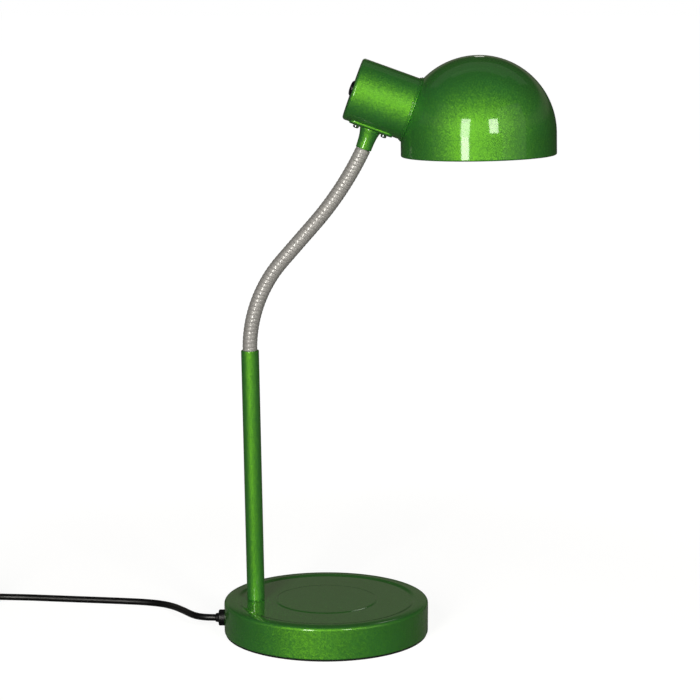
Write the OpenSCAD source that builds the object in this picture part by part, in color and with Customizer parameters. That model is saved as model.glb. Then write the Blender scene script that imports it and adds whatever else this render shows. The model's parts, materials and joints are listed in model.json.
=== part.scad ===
// Bedside lamp: weighted round base, upright tube, ribbed flexible neck, cup and domed shade.
// Millimetres, Z up. The origin is the centre of the base's underside, with the head towards +X.

/* [Base] */
// Outer diameter of the base
base_d = 150; // [146:1:180]
// Height of the base at the crest of its rim
base_h = 25; // [24:0.5:32]
// Thickness of the pressed cover
base_sheet = 1; // [0.8:0.1:1.4]
// Radius of the base's outer edge
base_edge_r = 2.4; // [1.6:0.2:4]
// Width of the rim, from the outer edge in to the flat top
rim_w = 13; // [11:0.5:15]
// Height of the rim's crest over the flat top
rim_rise = 0.7; // [0.3:0.1:1.2]
// Distance of the rim's crest from the outer edge
crest_in = 8.5; // [6:0.5:10]
// Fall of the shoulder outside the crest
shoulder = 0.4; // [0.2:0.1:0.8]
// Diameter of the raised disc in the middle of the top
disc_d = 74; // [50:1:80]
// Height of the raised disc over the flat top
disc_rise = 0.3; // [0.2:0.1:0.8]
// Width of the step round the disc
disc_step = 2.4; // [1.6:0.2:4]
// Thickness of the pad under the base
pad_t = 1.2; // [0.8:0.1:2]
// Thickness of the bottom plate
plate_t = 1; // [0.8:0.1:1.4]
// Thickness of the cast weight
weight_t = 11; // [10:0.5:12]
// Gap between the weight and the cover's wall
weight_gap = 2.5; // [2:0.1:5]

/* [Stem] */
// Outer diameter of the upright tube
stem_d = 13; // [12.4:0.1:16]
// Wall of the upright tube
stem_wall = 1; // [0.8:0.1:1.2]
// Length of the upright tube
stem_len = 186; // [120:1:260]
// Distance from the base's outer edge in to the tube's axis
stem_in = 23.3; // [22:0.1:28]
// Lean of the upright tube away from the head, in degrees
stem_lean = 0.95; // [0:0.05:3]
// Outer diameter of the threaded nipple at the tube's foot
nipple_d = 10; // [9:0.1:10.2]
// Bore of the nipple
nipple_bore = 7.6; // [6.5:0.1:7.8]

/* [Neck] */
// Outer diameter of the flexible neck over its ribs
neck_d = 10.7; // [10.4:0.1:10.8]
// Bore of the flexible neck
neck_bore = 5.4; // [4.5:0.1:5.6]
// Distance from rib to rib
rib_pitch = 3.04; // [2.9:0.02:3.4]
// Height of a rib over the neck's core
rib_h = 0.75; // [0.5:0.05:0.8]
// Radius of the neck's lower bend
bend_low_r = 97; // [85:1:140]
// Length of neck in the lower bend
bend_low_len = 71; // [40:1:74]
// Length of neck between the two bends
bend_mid_len = 35; // [20:1:50]
// Radius of the neck's upper bend
bend_up_r = 235; // [180:5:400]

/* [Cup] */
// Outer diameter of the lampholder's cup
cup_d = 45.5; // [42:0.5:50]
// Length of the cup
cup_len = 42.8; // [42:0.1:50]
// Wall of the cup
cup_wall = 0.8; // [0.6:0.1:1]
// Radius of the cup's rear edge
cup_edge_r = 2.2; // [1:0.1:4]
// Tilt of the cup's axis below level, in degrees
cup_tilt = 19.7; // [10:0.1:30]
// Distance from the cup's rear face to the neck's cone
cone_x = 21.8; // [20:0.1:25]
// Length of the cone between the neck and the saddle
cone_len = 13.8; // [11:0.1:20]
// Diameter of the cone's foot
cone_d = 11.4; // [10.8:0.1:12]
// Diameter of the cone's head
cone_top_d = 15; // [14:0.1:16]

/* [Saddle] */
// Length of the saddle plate along the cup
saddle_len = 32; // [30:0.5:36]
// Width of the saddle plate around the cup
saddle_w = 19; // [17:0.5:24]
// Thickness of the saddle plate
saddle_t = 1.2; // [0.8:0.1:1.6]
// Distance between the two saddle screws
saddle_pitch = 20.8; // [20:0.1:23]
// Diameter of the saddle screws
saddle_screw_d = 2.5; // [2:0.1:2.8]

/* [Shade] */
// Outer diameter of the shade
shade_d = 111; // [104:1:116]
// Thickness of the shade's sheet
shade_sheet = 0.9; // [0.7:0.1:1.2]
// Length of the straight skirt below the dome
skirt_len = 15.4; // [10:0.1:24]
// Radius of the rolled bead at the rim
bead_r = 0.8; // [0.6:0.05:1]
// Tilt of the rim, raised at the front, in degrees
shade_tilt = 1.2; // [0:0.1:4]
// Gap between the dome and the cup's front edge, bridged by the collar
collar_gap = 1.8; // [1.6:0.05:2.2]
// Diameter of the collar between the cup and the shade
collar_d = 48; // [46.6:0.1:49]

/* [Lampholder and bulb] */
// Diameter of the lampholder's threaded skirt
skirt_d = 28; // [27:0.1:29]
// Diameter of the lampholder's body inside the cup
holder_d = 26; // [25:0.1:28]
// Diameter of the bulb
bulb_d = 40; // [34:0.5:42]
// Length of the bulb with its cap
bulb_len = 70; // [68:0.5:76]
// Diameter of the bulb's screw cap
cap_d = 13.8; // [13.4:0.1:14]

/* [Switch] */
// Diameter of the push button
button_d = 11; // [9:0.1:11.4]
// Height of the button over the cup's rear face
button_rise = 2; // [1.7:0.1:2.6]
// Travel of the push button
button_travel = 1.5; // [0.8:0.1:1.5]

/* [Cord] */
// Diameter of the cord
cord_d = 5; // [4.6:0.1:5.2]
// Diameter of the strain relief's flange
flange_d = 11.9; // [10:0.1:14]
// Thickness of the strain relief's flange
flange_t = 4.6; // [3:0.1:6]
// Mean radius of the coiled turns
coil_r = 29.5; // [27:0.5:32]
// Distance from turn to turn of the coil, across and up
coil_pitch = 5.5; // [5.45:0.01:5.8]
// Number of turns in the coil
coil_turns = 8; // [4:4:12]
// Length of the plug's body
plug_len = 34; // [30:1:40]
// Width of the plug's face
plug_w = 35.3; // [33:0.1:36]
// Thickness of the plug
plug_t = 13.7; // [12:0.1:15]

/* [Hidden] */
$fn = 64;
eps = 0.01;
fit = 0.05;
gap = 0.3;
over = 1;
tie_t = 0.6;
tie_w = 6;

// Base levels, from the floor up
base_r = base_d / 2;
plate_z = pad_t;
weight_foot_z = plate_z + plate_t;
top_z = base_h - rim_rise;
shoulder_w = crest_in - base_edge_r;
shoulder_slope = atan(2 * shoulder / shoulder_w);
edge_z = base_h - shoulder - base_edge_r * cos(shoulder_slope);
top_under_z = top_z - base_sheet;
weight_r = base_r - base_sheet - weight_gap;
weight_z = top_under_z - weight_t;
disc_r = disc_d / 2;
cord_z = 8.5;
cord_y = 6;

// Strain relief, measured out from the base's axis
relief_r = 4.2;
relief_out_x = base_r + 7;
relief_in_x = base_r - 15;
relief_seat_x = base_r - 6;
relief_end_r = cord_d / 2 + 0.6;
stop_x = base_r - base_sheet - 1.2;
stop_t = 2.6;
stop_r = 5.4;

// Fixings of the base
stem_x = base_r - stem_in;
leg_r = 6;
leg_ring_r = base_r - 23;
leg_angles = [0, 110, 250];
plate_screw_d = 4;
plate_screw_len = 7;
washer_t = 1.2;
washer_r = 9;
nut_t = 4;
nut_af = 14;
seat_depth = 5.8;
seat_r = 10.5;
nipple_up = 11;
insert_len = 12;
nipple_low = top_under_z - weight_t + seat_depth - washer_t - nut_t - 1;

// Tube and neck
stem_r = stem_d / 2;
stem_bore_r = stem_r - stem_wall;
neck_r = neck_d / 2;
links = 14;
ribs = 4;
link_len = ribs * rib_pitch;
rib_lift = 0.65 * rib_pitch;
core_r = neck_r - rib_h;
ball_r = neck_r - 1.05;
socket_r = ball_r + 0.2;
lip_drop = 0.5;
bore_r = neck_bore / 2;
shank_r = 4.1;
shank_bore_r = bore_r - 0.3;
shank_len = 9;

// Direction of the neck, in degrees from upright, at a length s along it
function neck_angle(s) = -stem_lean
    + min(s, bend_low_len) / bend_low_r * 180 / PI
    - max(0, s - bend_low_len - bend_mid_len) / bend_up_r * 180 / PI;
function tilted(p, angle, v) =
    [p[0] + v[0] * cos(angle) + v[2] * sin(angle), p[1] + v[1], p[2] - v[0] * sin(angle) + v[2] * cos(angle)];
function link_angle(k) = neck_angle((k + 0.5) * link_len);
stem_foot = [-stem_x, 0, top_z];
stem_top = tilted(stem_foot, -stem_lean, [0, 0, stem_len]);
// Foot of each stretch of the neck, and the end of the last one
link_feet = [for (k = 0, p = stem_top; k <= links;
    p = tilted(p, link_angle(k), [0, 0, link_len]), k = k + 1) p];
neck_end = link_feet[links];

// Head, measured along the cup's axis from the centre of the dome
cup_r = cup_d / 2;
cup_bore_r = cup_r - cup_wall;
shade_x = sqrt(pow(shade_d / 2, 2) - pow(cup_r, 2)) + collar_gap;
rear_x = -shade_x - cup_len;
saddle_x = rear_x + cone_x;
saddle_r = cup_r + saddle_t;
saddle_head_t = 2;
saddle_corner_r = 4;
saddle_cut = 8;
saddle_nut_t = 2;
head = tilted(neck_end, cup_tilt, [-saddle_x, 0, saddle_r + cone_len]);
shade_r = shade_d / 2;
shade_in_r = shade_r - shade_sheet;
hole_r = skirt_d / 2 + gap;
wire_hole_r = 3.4;

// Lampholder stations along the cup's axis: the flange sits behind the shade's hole, the ring inside it
holder_flange_t = 3;
holder_flange_w = 2.4;
flange_front = -sqrt(pow(shade_r, 2) - pow(hole_r, 2)) - 0.1;
flange_back = flange_front - holder_flange_t;
ring_r = skirt_d / 2 + 4;
ring_w = 5;
ring_rib_r = 1;
ring_back = -sqrt(pow(shade_in_r, 2) - pow(ring_r, 2)) + 0.1;
ring_front = ring_back + ring_w;
lip_x = ring_front + 0.5;
mouth_r = skirt_d / 2 - 2.5;
thread_in = 6.3;
thread_len = 13;
thread_front = flange_front - thread_in;
thread_back = thread_front - thread_len;
thread_r = cap_d / 2 + 0.25;
thread_t = 0.4;
bulb_back = thread_back - 3;
cavity_back = bulb_back - 1.5;
holder_back = cavity_back - 3.1;
contact_r = 3.5;
contact_t = 0.4;
contact_pip_r = 1.6;
side_contact_r = cap_d / 2 + 0.15;
side_contact_w = 3;
terminal_y = 6;
terminal_d = 2.4;
terminal_len = 2.8;

// Bulb stations
cap_front = thread_front + 3;
cap_back = bulb_back + 2;
cap_t = 0.6;
tip_r = 2.2;
cap_pitch = 2.4;
bulb_r = bulb_d / 2;
bulb_x = bulb_back + bulb_len - bulb_r;
glass_neck_r = cap_d / 2 - 0.5;
glass_t = 0.8;

// Switch stations along the cup's axis, from the button's lip inwards
rear_in_x = rear_x + cup_wall;
button_r = button_d / 2;
lip_r = button_r + 0.7;
lip_back = rear_in_x + 0.1;
lip_front = lip_back + 1.2;
pressed_x = lip_front + button_travel;
switch_seat = pressed_x + 1.6;
pocket_x = switch_seat + 2.6;
switch_front = pocket_x + 3.5;
switch_r = 10;
plunger_r = 2.5;
plunger_front = lip_front + 4.5;
spring_r = 4.5;
spring_wire_d = 0.5;

// Coil of the spare cord: its turns lie in layers that wind outwards and inwards by turns
coil_layers = 4;
layer_turns = coil_turns / coil_layers;
coil_steps = 24;
coil_start_r = coil_r + coil_pitch * layer_turns / 2;
coil_y = 81.3;
coil_out = 212;
coil_lift = tie_t + gap;
coil_centre = [-relief_out_x - coil_out, coil_y - coil_start_r, cord_d / 2 + coil_lift];
coil_top = coil_centre[2] + (coil_layers - 1) * coil_pitch;

// Free stretch of cord to the coil: distance out from the strain relief, y, share of the drop, share of the lift
run_line = [[0, cord_y, 1, 0], [6, cord_y + 0.5, 1, 0], [12, 9, 0.97, 0], [17, 14, 0.92, 0], [21, 21, 0.83, 0],
    [25, 29, 0.72, 0], [29, 37, 0.58, 0], [33, 45, 0.42, 0], [38, 53, 0.25, 0], [44, 60, 0.1, 0], [52, 65, 0.02, 0],
    [62, 68, 0, 0], [74, 70, 0, 0], [88, 72, 0, 0], [103, 74, 0, 0], [118, 76, 0, 0], [133, 78, 0, 0],
    [148, 80, 0, 0], [163, 81, 0, 0.1], [178, coil_y, 0, 0.4], [193, coil_y, 0, 0.9], [coil_out - 5, coil_y, 0, 1]];
run_route = [for (p = run_line)
    [-relief_out_x - p[0], p[1], cord_d / 2 + (cord_z - cord_d / 2) * p[2] + coil_lift * p[3]]];

// Free stretch from the coil to the plug: distance from the coil's axis, y, share of the coil's height left
tail_line = [[5, coil_y, 1], [15, coil_y - 0.2, 0.97], [24, 79.5, 0.87], [33, 75.5, 0.69], [40, 69, 0.46],
    [45, 61, 0.24], [47.5, 52, 0.08], [48, 43, 0.01], [48, 36, 0]];
tail_route = [for (p = tail_line) [coil_centre[0] - p[0], p[1], plug_t / 2 + (coil_top - plug_t / 2) * p[2]]];
plug_at = tail_route[len(tail_route) - 1];
plug_neck_len = 20;
pin_r = 2;
pin_len = 19;
pin_gap = 18.6;

paint = "#5c9a2b";
dark_paint = "#2f6a2c";
steel = "#b9b6b0";
iron = "#4a4a4c";
zinc = "#c9ccd0";
brass = "#c2a24c";
black = "#17171a";
white = "#f2efe6";

// Points on an arc about c, from angle a to angle b
function arc(c, r, a, b, n) = [for (i = [0 : n]) let (t = a + (b - a) * i / n) c + r * [cos(t), sin(t)]];
function reversed(v) = [for (i = [len(v) - 1 : -1 : 0]) v[i]];

// A smooth step from 0 to 1 in n points
function step_line(from, to, n) = [for (i = [0 : n]) let (t = i / n)
    [from[0] + (to[0] - from[0]) * t, from[1] + (to[1] - from[1]) * (1 - cos(180 * t)) / 2]];

// Frames carried along a route without twist
function unit(v) = v / norm(v);
function tangent(route, i) = unit(route[min(i + 1, len(route) - 1)] - route[max(i - 1, 0)]);
function side_start(t) = unit(cross(t, abs(t[2]) < 0.9 ? [0, 0, 1] : [1, 0, 0]));
function carried(n, t) = unit(n - (n * t) * t);
function ring_points(p, t, n, r, sides) =
    [for (j = [0 : sides - 1]) let (a = 360 * (j + 0.5) / sides) p + r * (cos(a) * n + sin(a) * cross(t, n))];

// A round tube swept along a route
module swept(route, d, sides) {
    count = len(route);
    dirs = [for (i = [0 : count - 1]) tangent(route, i)];
    normals = [for (i = 0, n = side_start(dirs[0]); i < count; i = i + 1, n = i < count ? carried(n, dirs[i]) : n) n];
    points = [for (i = [0 : count - 1]) each ring_points(route[i], dirs[i], normals[i], d / 2, sides)];
    walls = [for (i = [0 : count - 2], j = [0 : sides - 1])
        let (a = i * sides + j, b = i * sides + (j + 1) % sides)
        each [[a, a + sides, b], [b, a + sides, b + sides]]];
    start_cap = [for (j = [1 : sides - 2]) [0, j, j + 1]];
    last = (count - 1) * sides;
    end_cap = [for (j = [1 : sides - 2]) [last, last + j + 1, last + j]];
    polyhedron(points, concat(walls, start_cap, end_cap), convexity = 10);
}

// Places children on the leaning axis of the upright tube
module on_stem() translate(stem_foot) rotate([0, -stem_lean, 0]) children();

// Places children in the head, with X along the cup's axis and the origin at the dome's centre
module in_head() translate(head) rotate([0, cup_tilt, 0]) children();

// Places children in the shade, with the origin at the dome's centre and the rim square to Z
module in_shade() translate(head) rotate([0, -shade_tilt, 0]) children();

// Turns a profile of radius and station into a round about the cup's axis
module along_cup() rotate([90, 0, 90]) rotate_extrude() children();

// A plain round between two stations on the cup's axis
module round_x(x0, x1, r) translate([x0, 0, 0]) rotate([0, 90, 0]) cylinder(h = x1 - x0, r = r);

module round_plate(l, w, t, r) {
    translate([-l / 2 + r, -w / 2, 0]) cube([l - 2 * r, w, t]);
    translate([-l / 2, -w / 2 + r, 0]) cube([l, w - 2 * r, t]);
    for (x = [-1, 1], y = [-1, 1])
        translate([x * (l / 2 - r), y * (w / 2 - r), 0]) cylinder(h = t, r = r);
}

// Outline of the base's cover, in by a given depth
function cover_line(depth) = concat(
    [[base_r - depth, plate_z]],
    arc([base_r - base_edge_r, edge_z], base_edge_r - depth, 0, 90 - shoulder_slope, 8),
    [for (i = [1 : 6]) let (t = 1 - i / 6)
        [base_r - crest_in + shoulder_w * t, base_h - depth - shoulder * t * t]],
    step_line([base_r - crest_in - 0.1, base_h - depth], [base_r - rim_w, top_z - depth], 8),
    step_line([disc_r + disc_step / 2, top_z - depth], [disc_r - disc_step / 2, top_z + disc_rise - depth], 4),
    [[0, top_z + disc_rise - depth]]);

module base_cover() color(paint) difference() {
    rotate_extrude($fn = 128) polygon(concat(cover_line(0), reversed(cover_line(base_sheet))));
    on_stem() translate([0, 0, -3 * base_sheet]) cylinder(h = 6 * base_sheet, r = nipple_d / 2 + 0.2);
    translate([-base_r - over, cord_y, cord_z]) rotate([0, 90, 0])
        cylinder(h = 4 * base_sheet, r = relief_r + fit);
}

module base_weight() color(iron) difference() {
    union() {
        translate([0, 0, weight_z]) cylinder(h = weight_t, r = weight_r, $fn = 96);
        for (a = leg_angles) rotate(a) translate([leg_ring_r, 0, weight_foot_z])
            cylinder(h = weight_z - weight_foot_z + eps, r = leg_r);
    }
    on_stem() translate([0, 0, -weight_t - seat_depth])
        cylinder(h = weight_t + seat_depth + over, r = nipple_d / 2 + gap);
    on_stem() translate([0, 0, seat_z - 2 * seat_depth]) cylinder(h = 2 * seat_depth, r = seat_r);
    for (a = leg_angles) rotate(a) translate([leg_ring_r, 0, weight_foot_z - 1])
        cylinder(h = plate_screw_len + 2, r = plate_screw_d / 2 + fit);
    translate([-base_r, cord_y, cord_z]) rotate([0, 90, 0]) cylinder(h = base_r - relief_in_x, r = stop_r + gap);
}

module bottom_plate() color(steel) difference() {
    translate([0, 0, plate_z]) cylinder(h = plate_t, r = base_r - base_sheet - gap, $fn = 96);
    for (a = leg_angles) rotate(a) translate([leg_ring_r, 0, plate_z - 1])
        cylinder(h = plate_t + 2, r = plate_screw_d / 2 + gap);
}

module base_pad() color(black) difference() {
    cylinder(h = pad_t, r = base_r - 0.8, $fn = 96);
    for (a = leg_angles) rotate(a) translate([leg_ring_r, 0, -1]) cylinder(h = pad_t + 2, r = leg_r);
}

// A cheese-head screw with its head down
module screw_up(d, head_d, head_t, len) difference() {
    union() {
        translate([0, 0, -head_t]) cylinder(h = head_t, r = head_d / 2);
        translate([0, 0, -eps]) cylinder(h = len + eps, r = d / 2);
    }
    translate([-head_d, -0.35, -head_t - 1]) cube([2 * head_d, 0.7, 1.5]);
}

module plate_screws() color(zinc) for (a = leg_angles) rotate(a) translate([leg_ring_r, 0, plate_z])
    screw_up(plate_screw_d, 7, 1, plate_screw_len);

// Flange outside the base, sleeve through its wall and a taper along the cord inside
module cord_bushing() color(black) translate([0, cord_y, cord_z]) rotate([0, -90, 0]) difference() {
    union() {
        translate([0, 0, base_r + fit]) rotate_extrude() polygon([[0, 0], [flange_d / 2, 0],
            [flange_d / 2, flange_t - 0.9], [flange_d / 2 - 0.3, flange_t - 0.3], [flange_d / 2 - 0.9, flange_t],
            [0, flange_t]]);
        translate([0, 0, relief_seat_x]) cylinder(h = base_r - relief_seat_x + 1, r = relief_r);
        translate([0, 0, base_r + flange_t - eps])
            cylinder(h = relief_out_x - base_r - flange_t + eps, r1 = relief_end_r + 0.4, r2 = relief_end_r);
        translate([0, 0, relief_in_x])
            cylinder(h = relief_seat_x - relief_in_x + eps, r1 = relief_end_r, r2 = relief_r);
    }
    translate([0, 0, relief_in_x - 1]) cylinder(h = relief_out_x - relief_in_x + 2, r = cord_d / 2 + fit);
}

module cord_stop() color(black) translate([-stop_x, cord_y, cord_z]) rotate([0, 90, 0]) difference() {
    cylinder(h = stop_t, r = stop_r);
    translate([0, 0, -1]) cylinder(h = stop_t + 2, r = relief_r + fit);
}

// Cuts the tube's parts level with the base's flat top
module below_top() translate([-stem_x - stem_d, -stem_d, top_z - stem_d]) cube([2 * stem_d, 2 * stem_d, stem_d]);

module stem_tube() color(paint) difference() {
    on_stem() translate([0, 0, -1]) rotate_extrude() polygon(concat(
        [[stem_bore_r, 0], [stem_r, 0]],
        arc([stem_r - 0.6, stem_len + 0.4], 0.6, 0, 90, 5),
        [[stem_bore_r, stem_len + 1]]));
    below_top();
}

module stem_insert() color(brass) difference() {
    on_stem() difference() {
        translate([0, 0, -over]) cylinder(h = insert_len + over, r = stem_bore_r - fit);
        translate([0, 0, -2 * over]) cylinder(h = insert_len + 3 * over, r = nipple_d / 2 + fit);
    }
    below_top();
}

module stem_nipple() color(zinc) on_stem() difference() {
    translate([0, 0, nipple_low - top_z]) cylinder(h = nipple_up + top_z - nipple_low, r = nipple_d / 2);
    translate([0, 0, nipple_low - top_z - 1]) cylinder(h = nipple_up + top_z - nipple_low + 2, r = nipple_bore / 2);
}

// Station of the nut's seat below the top of the base, on the tube's axis
seat_z = -base_sheet - weight_t + seat_depth;

module stem_washer() color(zinc) on_stem() translate([0, 0, seat_z - washer_t]) difference() {
    cylinder(h = washer_t, r = washer_r);
    translate([0, 0, -1]) cylinder(h = washer_t + 2, r = nipple_d / 2 + 0.2);
}

module stem_nut() color(zinc) on_stem() translate([0, 0, seat_z - washer_t - nut_t]) difference() {
    cylinder(h = nut_t, r = nut_af / 2 / cos(30), $fn = 6);
    translate([0, 0, -1]) cylinder(h = nut_t + 2, r = nipple_d / 2 + fit);
}

// Two cores that leave the sheath inside the base and climb the tube, held apart by the offset y
core_d = 2.2;
core_y = 1.3;
function stem_core(y) = concat(
    [[-relief_in_x - over, cord_y + y, cord_z], [-stem_x - 4.3, cord_y - 1 + y, cord_z - 0.5],
        [-stem_x - 1.3, 3 + y, cord_z + 0.5], [-stem_x - 0.2, 1.5 + y, cord_z + 3.5]],
    [for (s = [0.2, 0.45, 0.7]) tilted(stem_foot, -stem_lean, [0, y, s * stem_len])],
    [tilted(stem_foot, -stem_lean, [0, y, stem_len - shank_len - 4])]);

module stem_leads() {
    color(black) translate([-relief_out_x, cord_y, cord_z]) rotate([0, 90, 0])
        cylinder(h = relief_out_x - relief_in_x + 0.4, r = cord_d / 2);
    color("#6b4423") swept(stem_core(-core_y), core_d, 6);
    color("#2f5f9e") swept(stem_core(core_y), core_d, 6);
}

module neck_ferrule() color(brass) on_stem() translate([0, 0, stem_len - shank_len - 2.5]) difference() {
    cylinder(h = shank_len + 2, r = stem_bore_r - fit);
    translate([0, 0, -1]) cylinder(h = shank_len + 4, r = shank_r + fit);
}

// One rib of the neck, centred at height z
function rib(z) = [[core_r, z - 0.8], [neck_r - 0.28, z - 0.5], [neck_r - 0.05, z - 0.2], [neck_r - 0.05, z + 0.2],
    [neck_r - 0.28, z + 0.5], [core_r, z + 0.8]];
ball_foot_r = bore_r + 0.6;
ball_foot_a = -acos(ball_foot_r / ball_r);
rib_foot = rib_lift - 0.65;
ball_head_a = asin(rib_foot / ball_r);
lip_a = -asin(lip_drop / socket_r);
socket_low_a = -acos(bore_r / socket_r);

// Outer line of a stretch between its ball and its socket
function rib_line() = concat(
    [[ball_r * cos(ball_head_a) + 0.3, rib_foot], [neck_r - 0.28, rib_foot + 0.15],
        [neck_r - 0.05, rib_lift - 0.2], [neck_r - 0.05, rib_lift + 0.2], [neck_r - 0.28, rib_lift + 0.5],
        [core_r, rib_lift + 0.8]],
    [for (i = [1 : ribs - 2]) each rib(rib_lift + i * rib_pitch)],
    [let (z = link_len - lip_drop) each [[core_r, z - 1.3], [neck_r - 0.28, z - 1], [neck_r - 0.05, z - 0.7],
        [neck_r - 0.05, z - 0.35], [neck_r - 0.25, z]]]);
socket_line = arc([0, link_len], socket_r, lip_a, socket_low_a, 8);

// A stretch of neck with a ball at its foot and a socket at its head
module link_round() rotate_extrude() polygon(concat(
    arc([0, 0], ball_r, ball_foot_a, ball_head_a, 9), rib_line(), socket_line,
    [[bore_r, ball_r * sin(ball_foot_a)]]));

// The lowest stretch, on a shank in the ferrule
module first_link() {
    translate(link_feet[0]) rotate([0, link_angle(0), 0]) rotate_extrude()
        polygon(concat([[bore_r, 0.5], [core_r - 0.4, 0.5]], rib_line(), socket_line));
    on_stem() translate([0, 0, stem_len - shank_len]) difference() {
        cylinder(h = shank_len + 1, r = shank_r);
        translate([0, 0, -1]) cylinder(h = shank_len + 3, r = shank_bore_r);
    }
}

// The highest stretch, with a shank that enters the cone
module last_link() {
    difference() {
        translate(link_feet[links - 1]) rotate([0, link_angle(links - 1), 0]) rotate_extrude()
            polygon(concat(arc([0, 0], ball_r, ball_foot_a, ball_head_a, 9), rib_line(),
                [[core_r - 0.2, link_len - lip_drop + 0.2], [core_r - 0.2, link_len + over],
                    [bore_r, link_len + over], [bore_r, ball_r * sin(ball_foot_a)]]));
        in_head() translate([saddle_x, 0, -saddle_r - cone_len - 0.1]) cylinder(h = shank_len, r = neck_d);
    }
    in_head() translate([saddle_x, 0, -saddle_r - cone_len - 1]) difference() {
        cylinder(h = shank_len + 1, r = shank_r);
        translate([0, 0, -1]) cylinder(h = shank_len + 3, r = shank_bore_r);
    }
}

module neck_link(k) color(steel) {
    if (k == 0) first_link();
    else if (k == links - 1) last_link();
    else translate(link_feet[k]) rotate([0, link_angle(k), 0]) link_round();
}

cone_line = [[cone_d / 2 - 0.3, 0], [cone_d / 2, 0.3], [cone_d / 2 + 0.2, cone_len * 0.3],
    [cone_d / 2 + 0.6, cone_len * 0.6], [cone_top_d / 2 - 0.6, cone_len * 0.85],
    [cone_top_d / 2, cone_len * 0.96], [cone_top_d / 2, cone_len + 3]];

module neck_cone() color(paint) in_head() difference() {
    translate([saddle_x, 0, -saddle_r - cone_len]) difference() {
        rotate_extrude() polygon(concat([[shank_r + fit, 0]], cone_line, [[shank_r + fit, cone_len + 3]]));
    }
    round_x(saddle_x - cone_top_d, saddle_x + cone_top_d, saddle_r + fit);
}

module saddle_plate() color(paint) in_head() difference() {
    intersection() {
        round_x(saddle_x - saddle_len, saddle_x + saddle_len, saddle_r);
        translate([saddle_x, 0, -saddle_r - over]) round_plate(saddle_len, saddle_w, saddle_r, saddle_corner_r);
    }
    round_x(saddle_x - saddle_len - over, saddle_x + saddle_len + over, cup_r + 0.02);
    translate([saddle_x, 0, -saddle_r - over]) cylinder(h = saddle_cut, r = wire_hole_r);
    for (x = [-1, 1]) translate([saddle_x + x * saddle_pitch / 2, 0, -saddle_r - over])
        cylinder(h = saddle_cut, r = saddle_screw_d / 2 + 0.1);
}

// Nuts of the saddle screws, resting inside the cup's wall
saddle_nut_r = 2.5 / cos(30);
saddle_nut_z = -sqrt(pow(cup_bore_r, 2) - pow(saddle_nut_r, 2)) + 0.02;

module saddle_screws() color(zinc) in_head() for (x = [-1, 1])
    translate([saddle_x + x * saddle_pitch / 2, 0, -saddle_r - 0.02])
        screw_up(saddle_screw_d, saddle_screw_d + 1.8, saddle_head_t, saddle_t + cup_wall + 3.4);

module saddle_nuts() color(zinc) in_head() for (x = [-1, 1])
    translate([saddle_x + x * saddle_pitch / 2, 0, saddle_nut_z]) difference() {
        cylinder(h = saddle_nut_t, r = saddle_nut_r, $fn = 6);
        translate([0, 0, -over]) cylinder(h = saddle_nut_t + 2 * over, r = saddle_screw_d / 2 + fit);
    }

module holder_cup() color(paint) in_head() difference() {
    along_cup() polygon(concat(
        [[0, rear_x], [cup_r - cup_edge_r, rear_x]],
        arc([cup_r - cup_edge_r, rear_x + cup_edge_r], cup_edge_r, -90, 0, 6),
        [[cup_r, -shade_x], [cup_bore_r, -shade_x]],
        arc([cup_r - cup_edge_r, rear_x + cup_edge_r], cup_edge_r - cup_wall, 0, -90, 6),
        [[0, rear_in_x]]));
    round_x(rear_x - over, rear_in_x + over, button_r + gap);
    translate([saddle_x, 0, -cup_r - over]) cylinder(h = cup_wall + 2 * over, r = wire_hole_r);
    for (x = [-1, 1]) translate([saddle_x + x * saddle_pitch / 2, 0, -cup_r - over])
        cylinder(h = cup_wall + 2 * over, r = saddle_screw_d / 2 + 0.1);
}

collar_r = collar_d / 2;

module shade_collar() color(paint) difference() {
    in_head() along_cup() polygon([[cup_bore_r - 0.4, -shade_x], [cup_r + 0.5, -shade_x],
        [cup_r + 0.7, -shade_x + 0.25], [cup_r + 0.7, -shade_x + 0.7], [cup_r + 0.4, -shade_x + 0.9],
        [collar_r - 0.3, -shade_x + 1], [collar_r, -shade_x + 1.4], [collar_r, -shade_x + 2.2],
        [collar_r - 0.5, -shade_x + 3.4], [cup_bore_r - 0.4, -shade_x + 3.4]]);
    in_head() sphere(r = shade_r + fit, $fn = 128);
    in_shade() translate([0, 0, -skirt_len]) cylinder(h = skirt_len, r = shade_r + fit, $fn = 128);
}

// Half section of a dome with a straight skirt below it
module dome_section(r) {
    intersection() {
        circle(r = r, $fn = 128);
        square(2 * shade_r);
    }
    translate([0, -skirt_len + bead_r]) square([r, skirt_len - bead_r]);
}

// Profile of the shade as a shell with a rolled bead at its rim, open below
module shade_profile() {
    difference() {
        dome_section(shade_r);
        dome_section(shade_in_r);
    }
    translate([shade_in_r + shade_sheet / 2, -skirt_len + bead_r]) circle(r = bead_r, $fn = 32);
}

module shade() color(dark_paint) difference() {
    in_shade() rotate_extrude($fn = 128) shade_profile();
    in_head() round_x(-shade_r - 5, -shade_r / 2, hole_r);
}

module shade_ring() color(black) in_head() difference() {
    round_x(ring_back, ring_front, ring_r);
    round_x(ring_back - 1, ring_front + 1, skirt_d / 2 + fit);
    for (a = [0 : 30 : 330]) rotate([a, 0, 0]) translate([0, 0, ring_r + 0.4 * ring_rib_r])
        round_x(ring_back + 1.2 * ring_rib_r, ring_front + over, ring_rib_r);
}

module lampholder_body() color(black) in_head() difference() {
    union() {
        round_x(flange_back, lip_x, skirt_d / 2);
        round_x(flange_back, flange_front, skirt_d / 2 + holder_flange_w);
        round_x(holder_back, flange_back + eps, holder_d / 2);
    }
    round_x(thread_front, lip_x + 1, mouth_r);
    round_x(cavity_back, thread_front + 1, thread_r + thread_t + fit);
    for (y = [-1, 1]) translate([0, y * terminal_y, 0])
        round_x(holder_back - 1, cavity_back + 1, terminal_d / 2 + 0.1);
}

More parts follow.
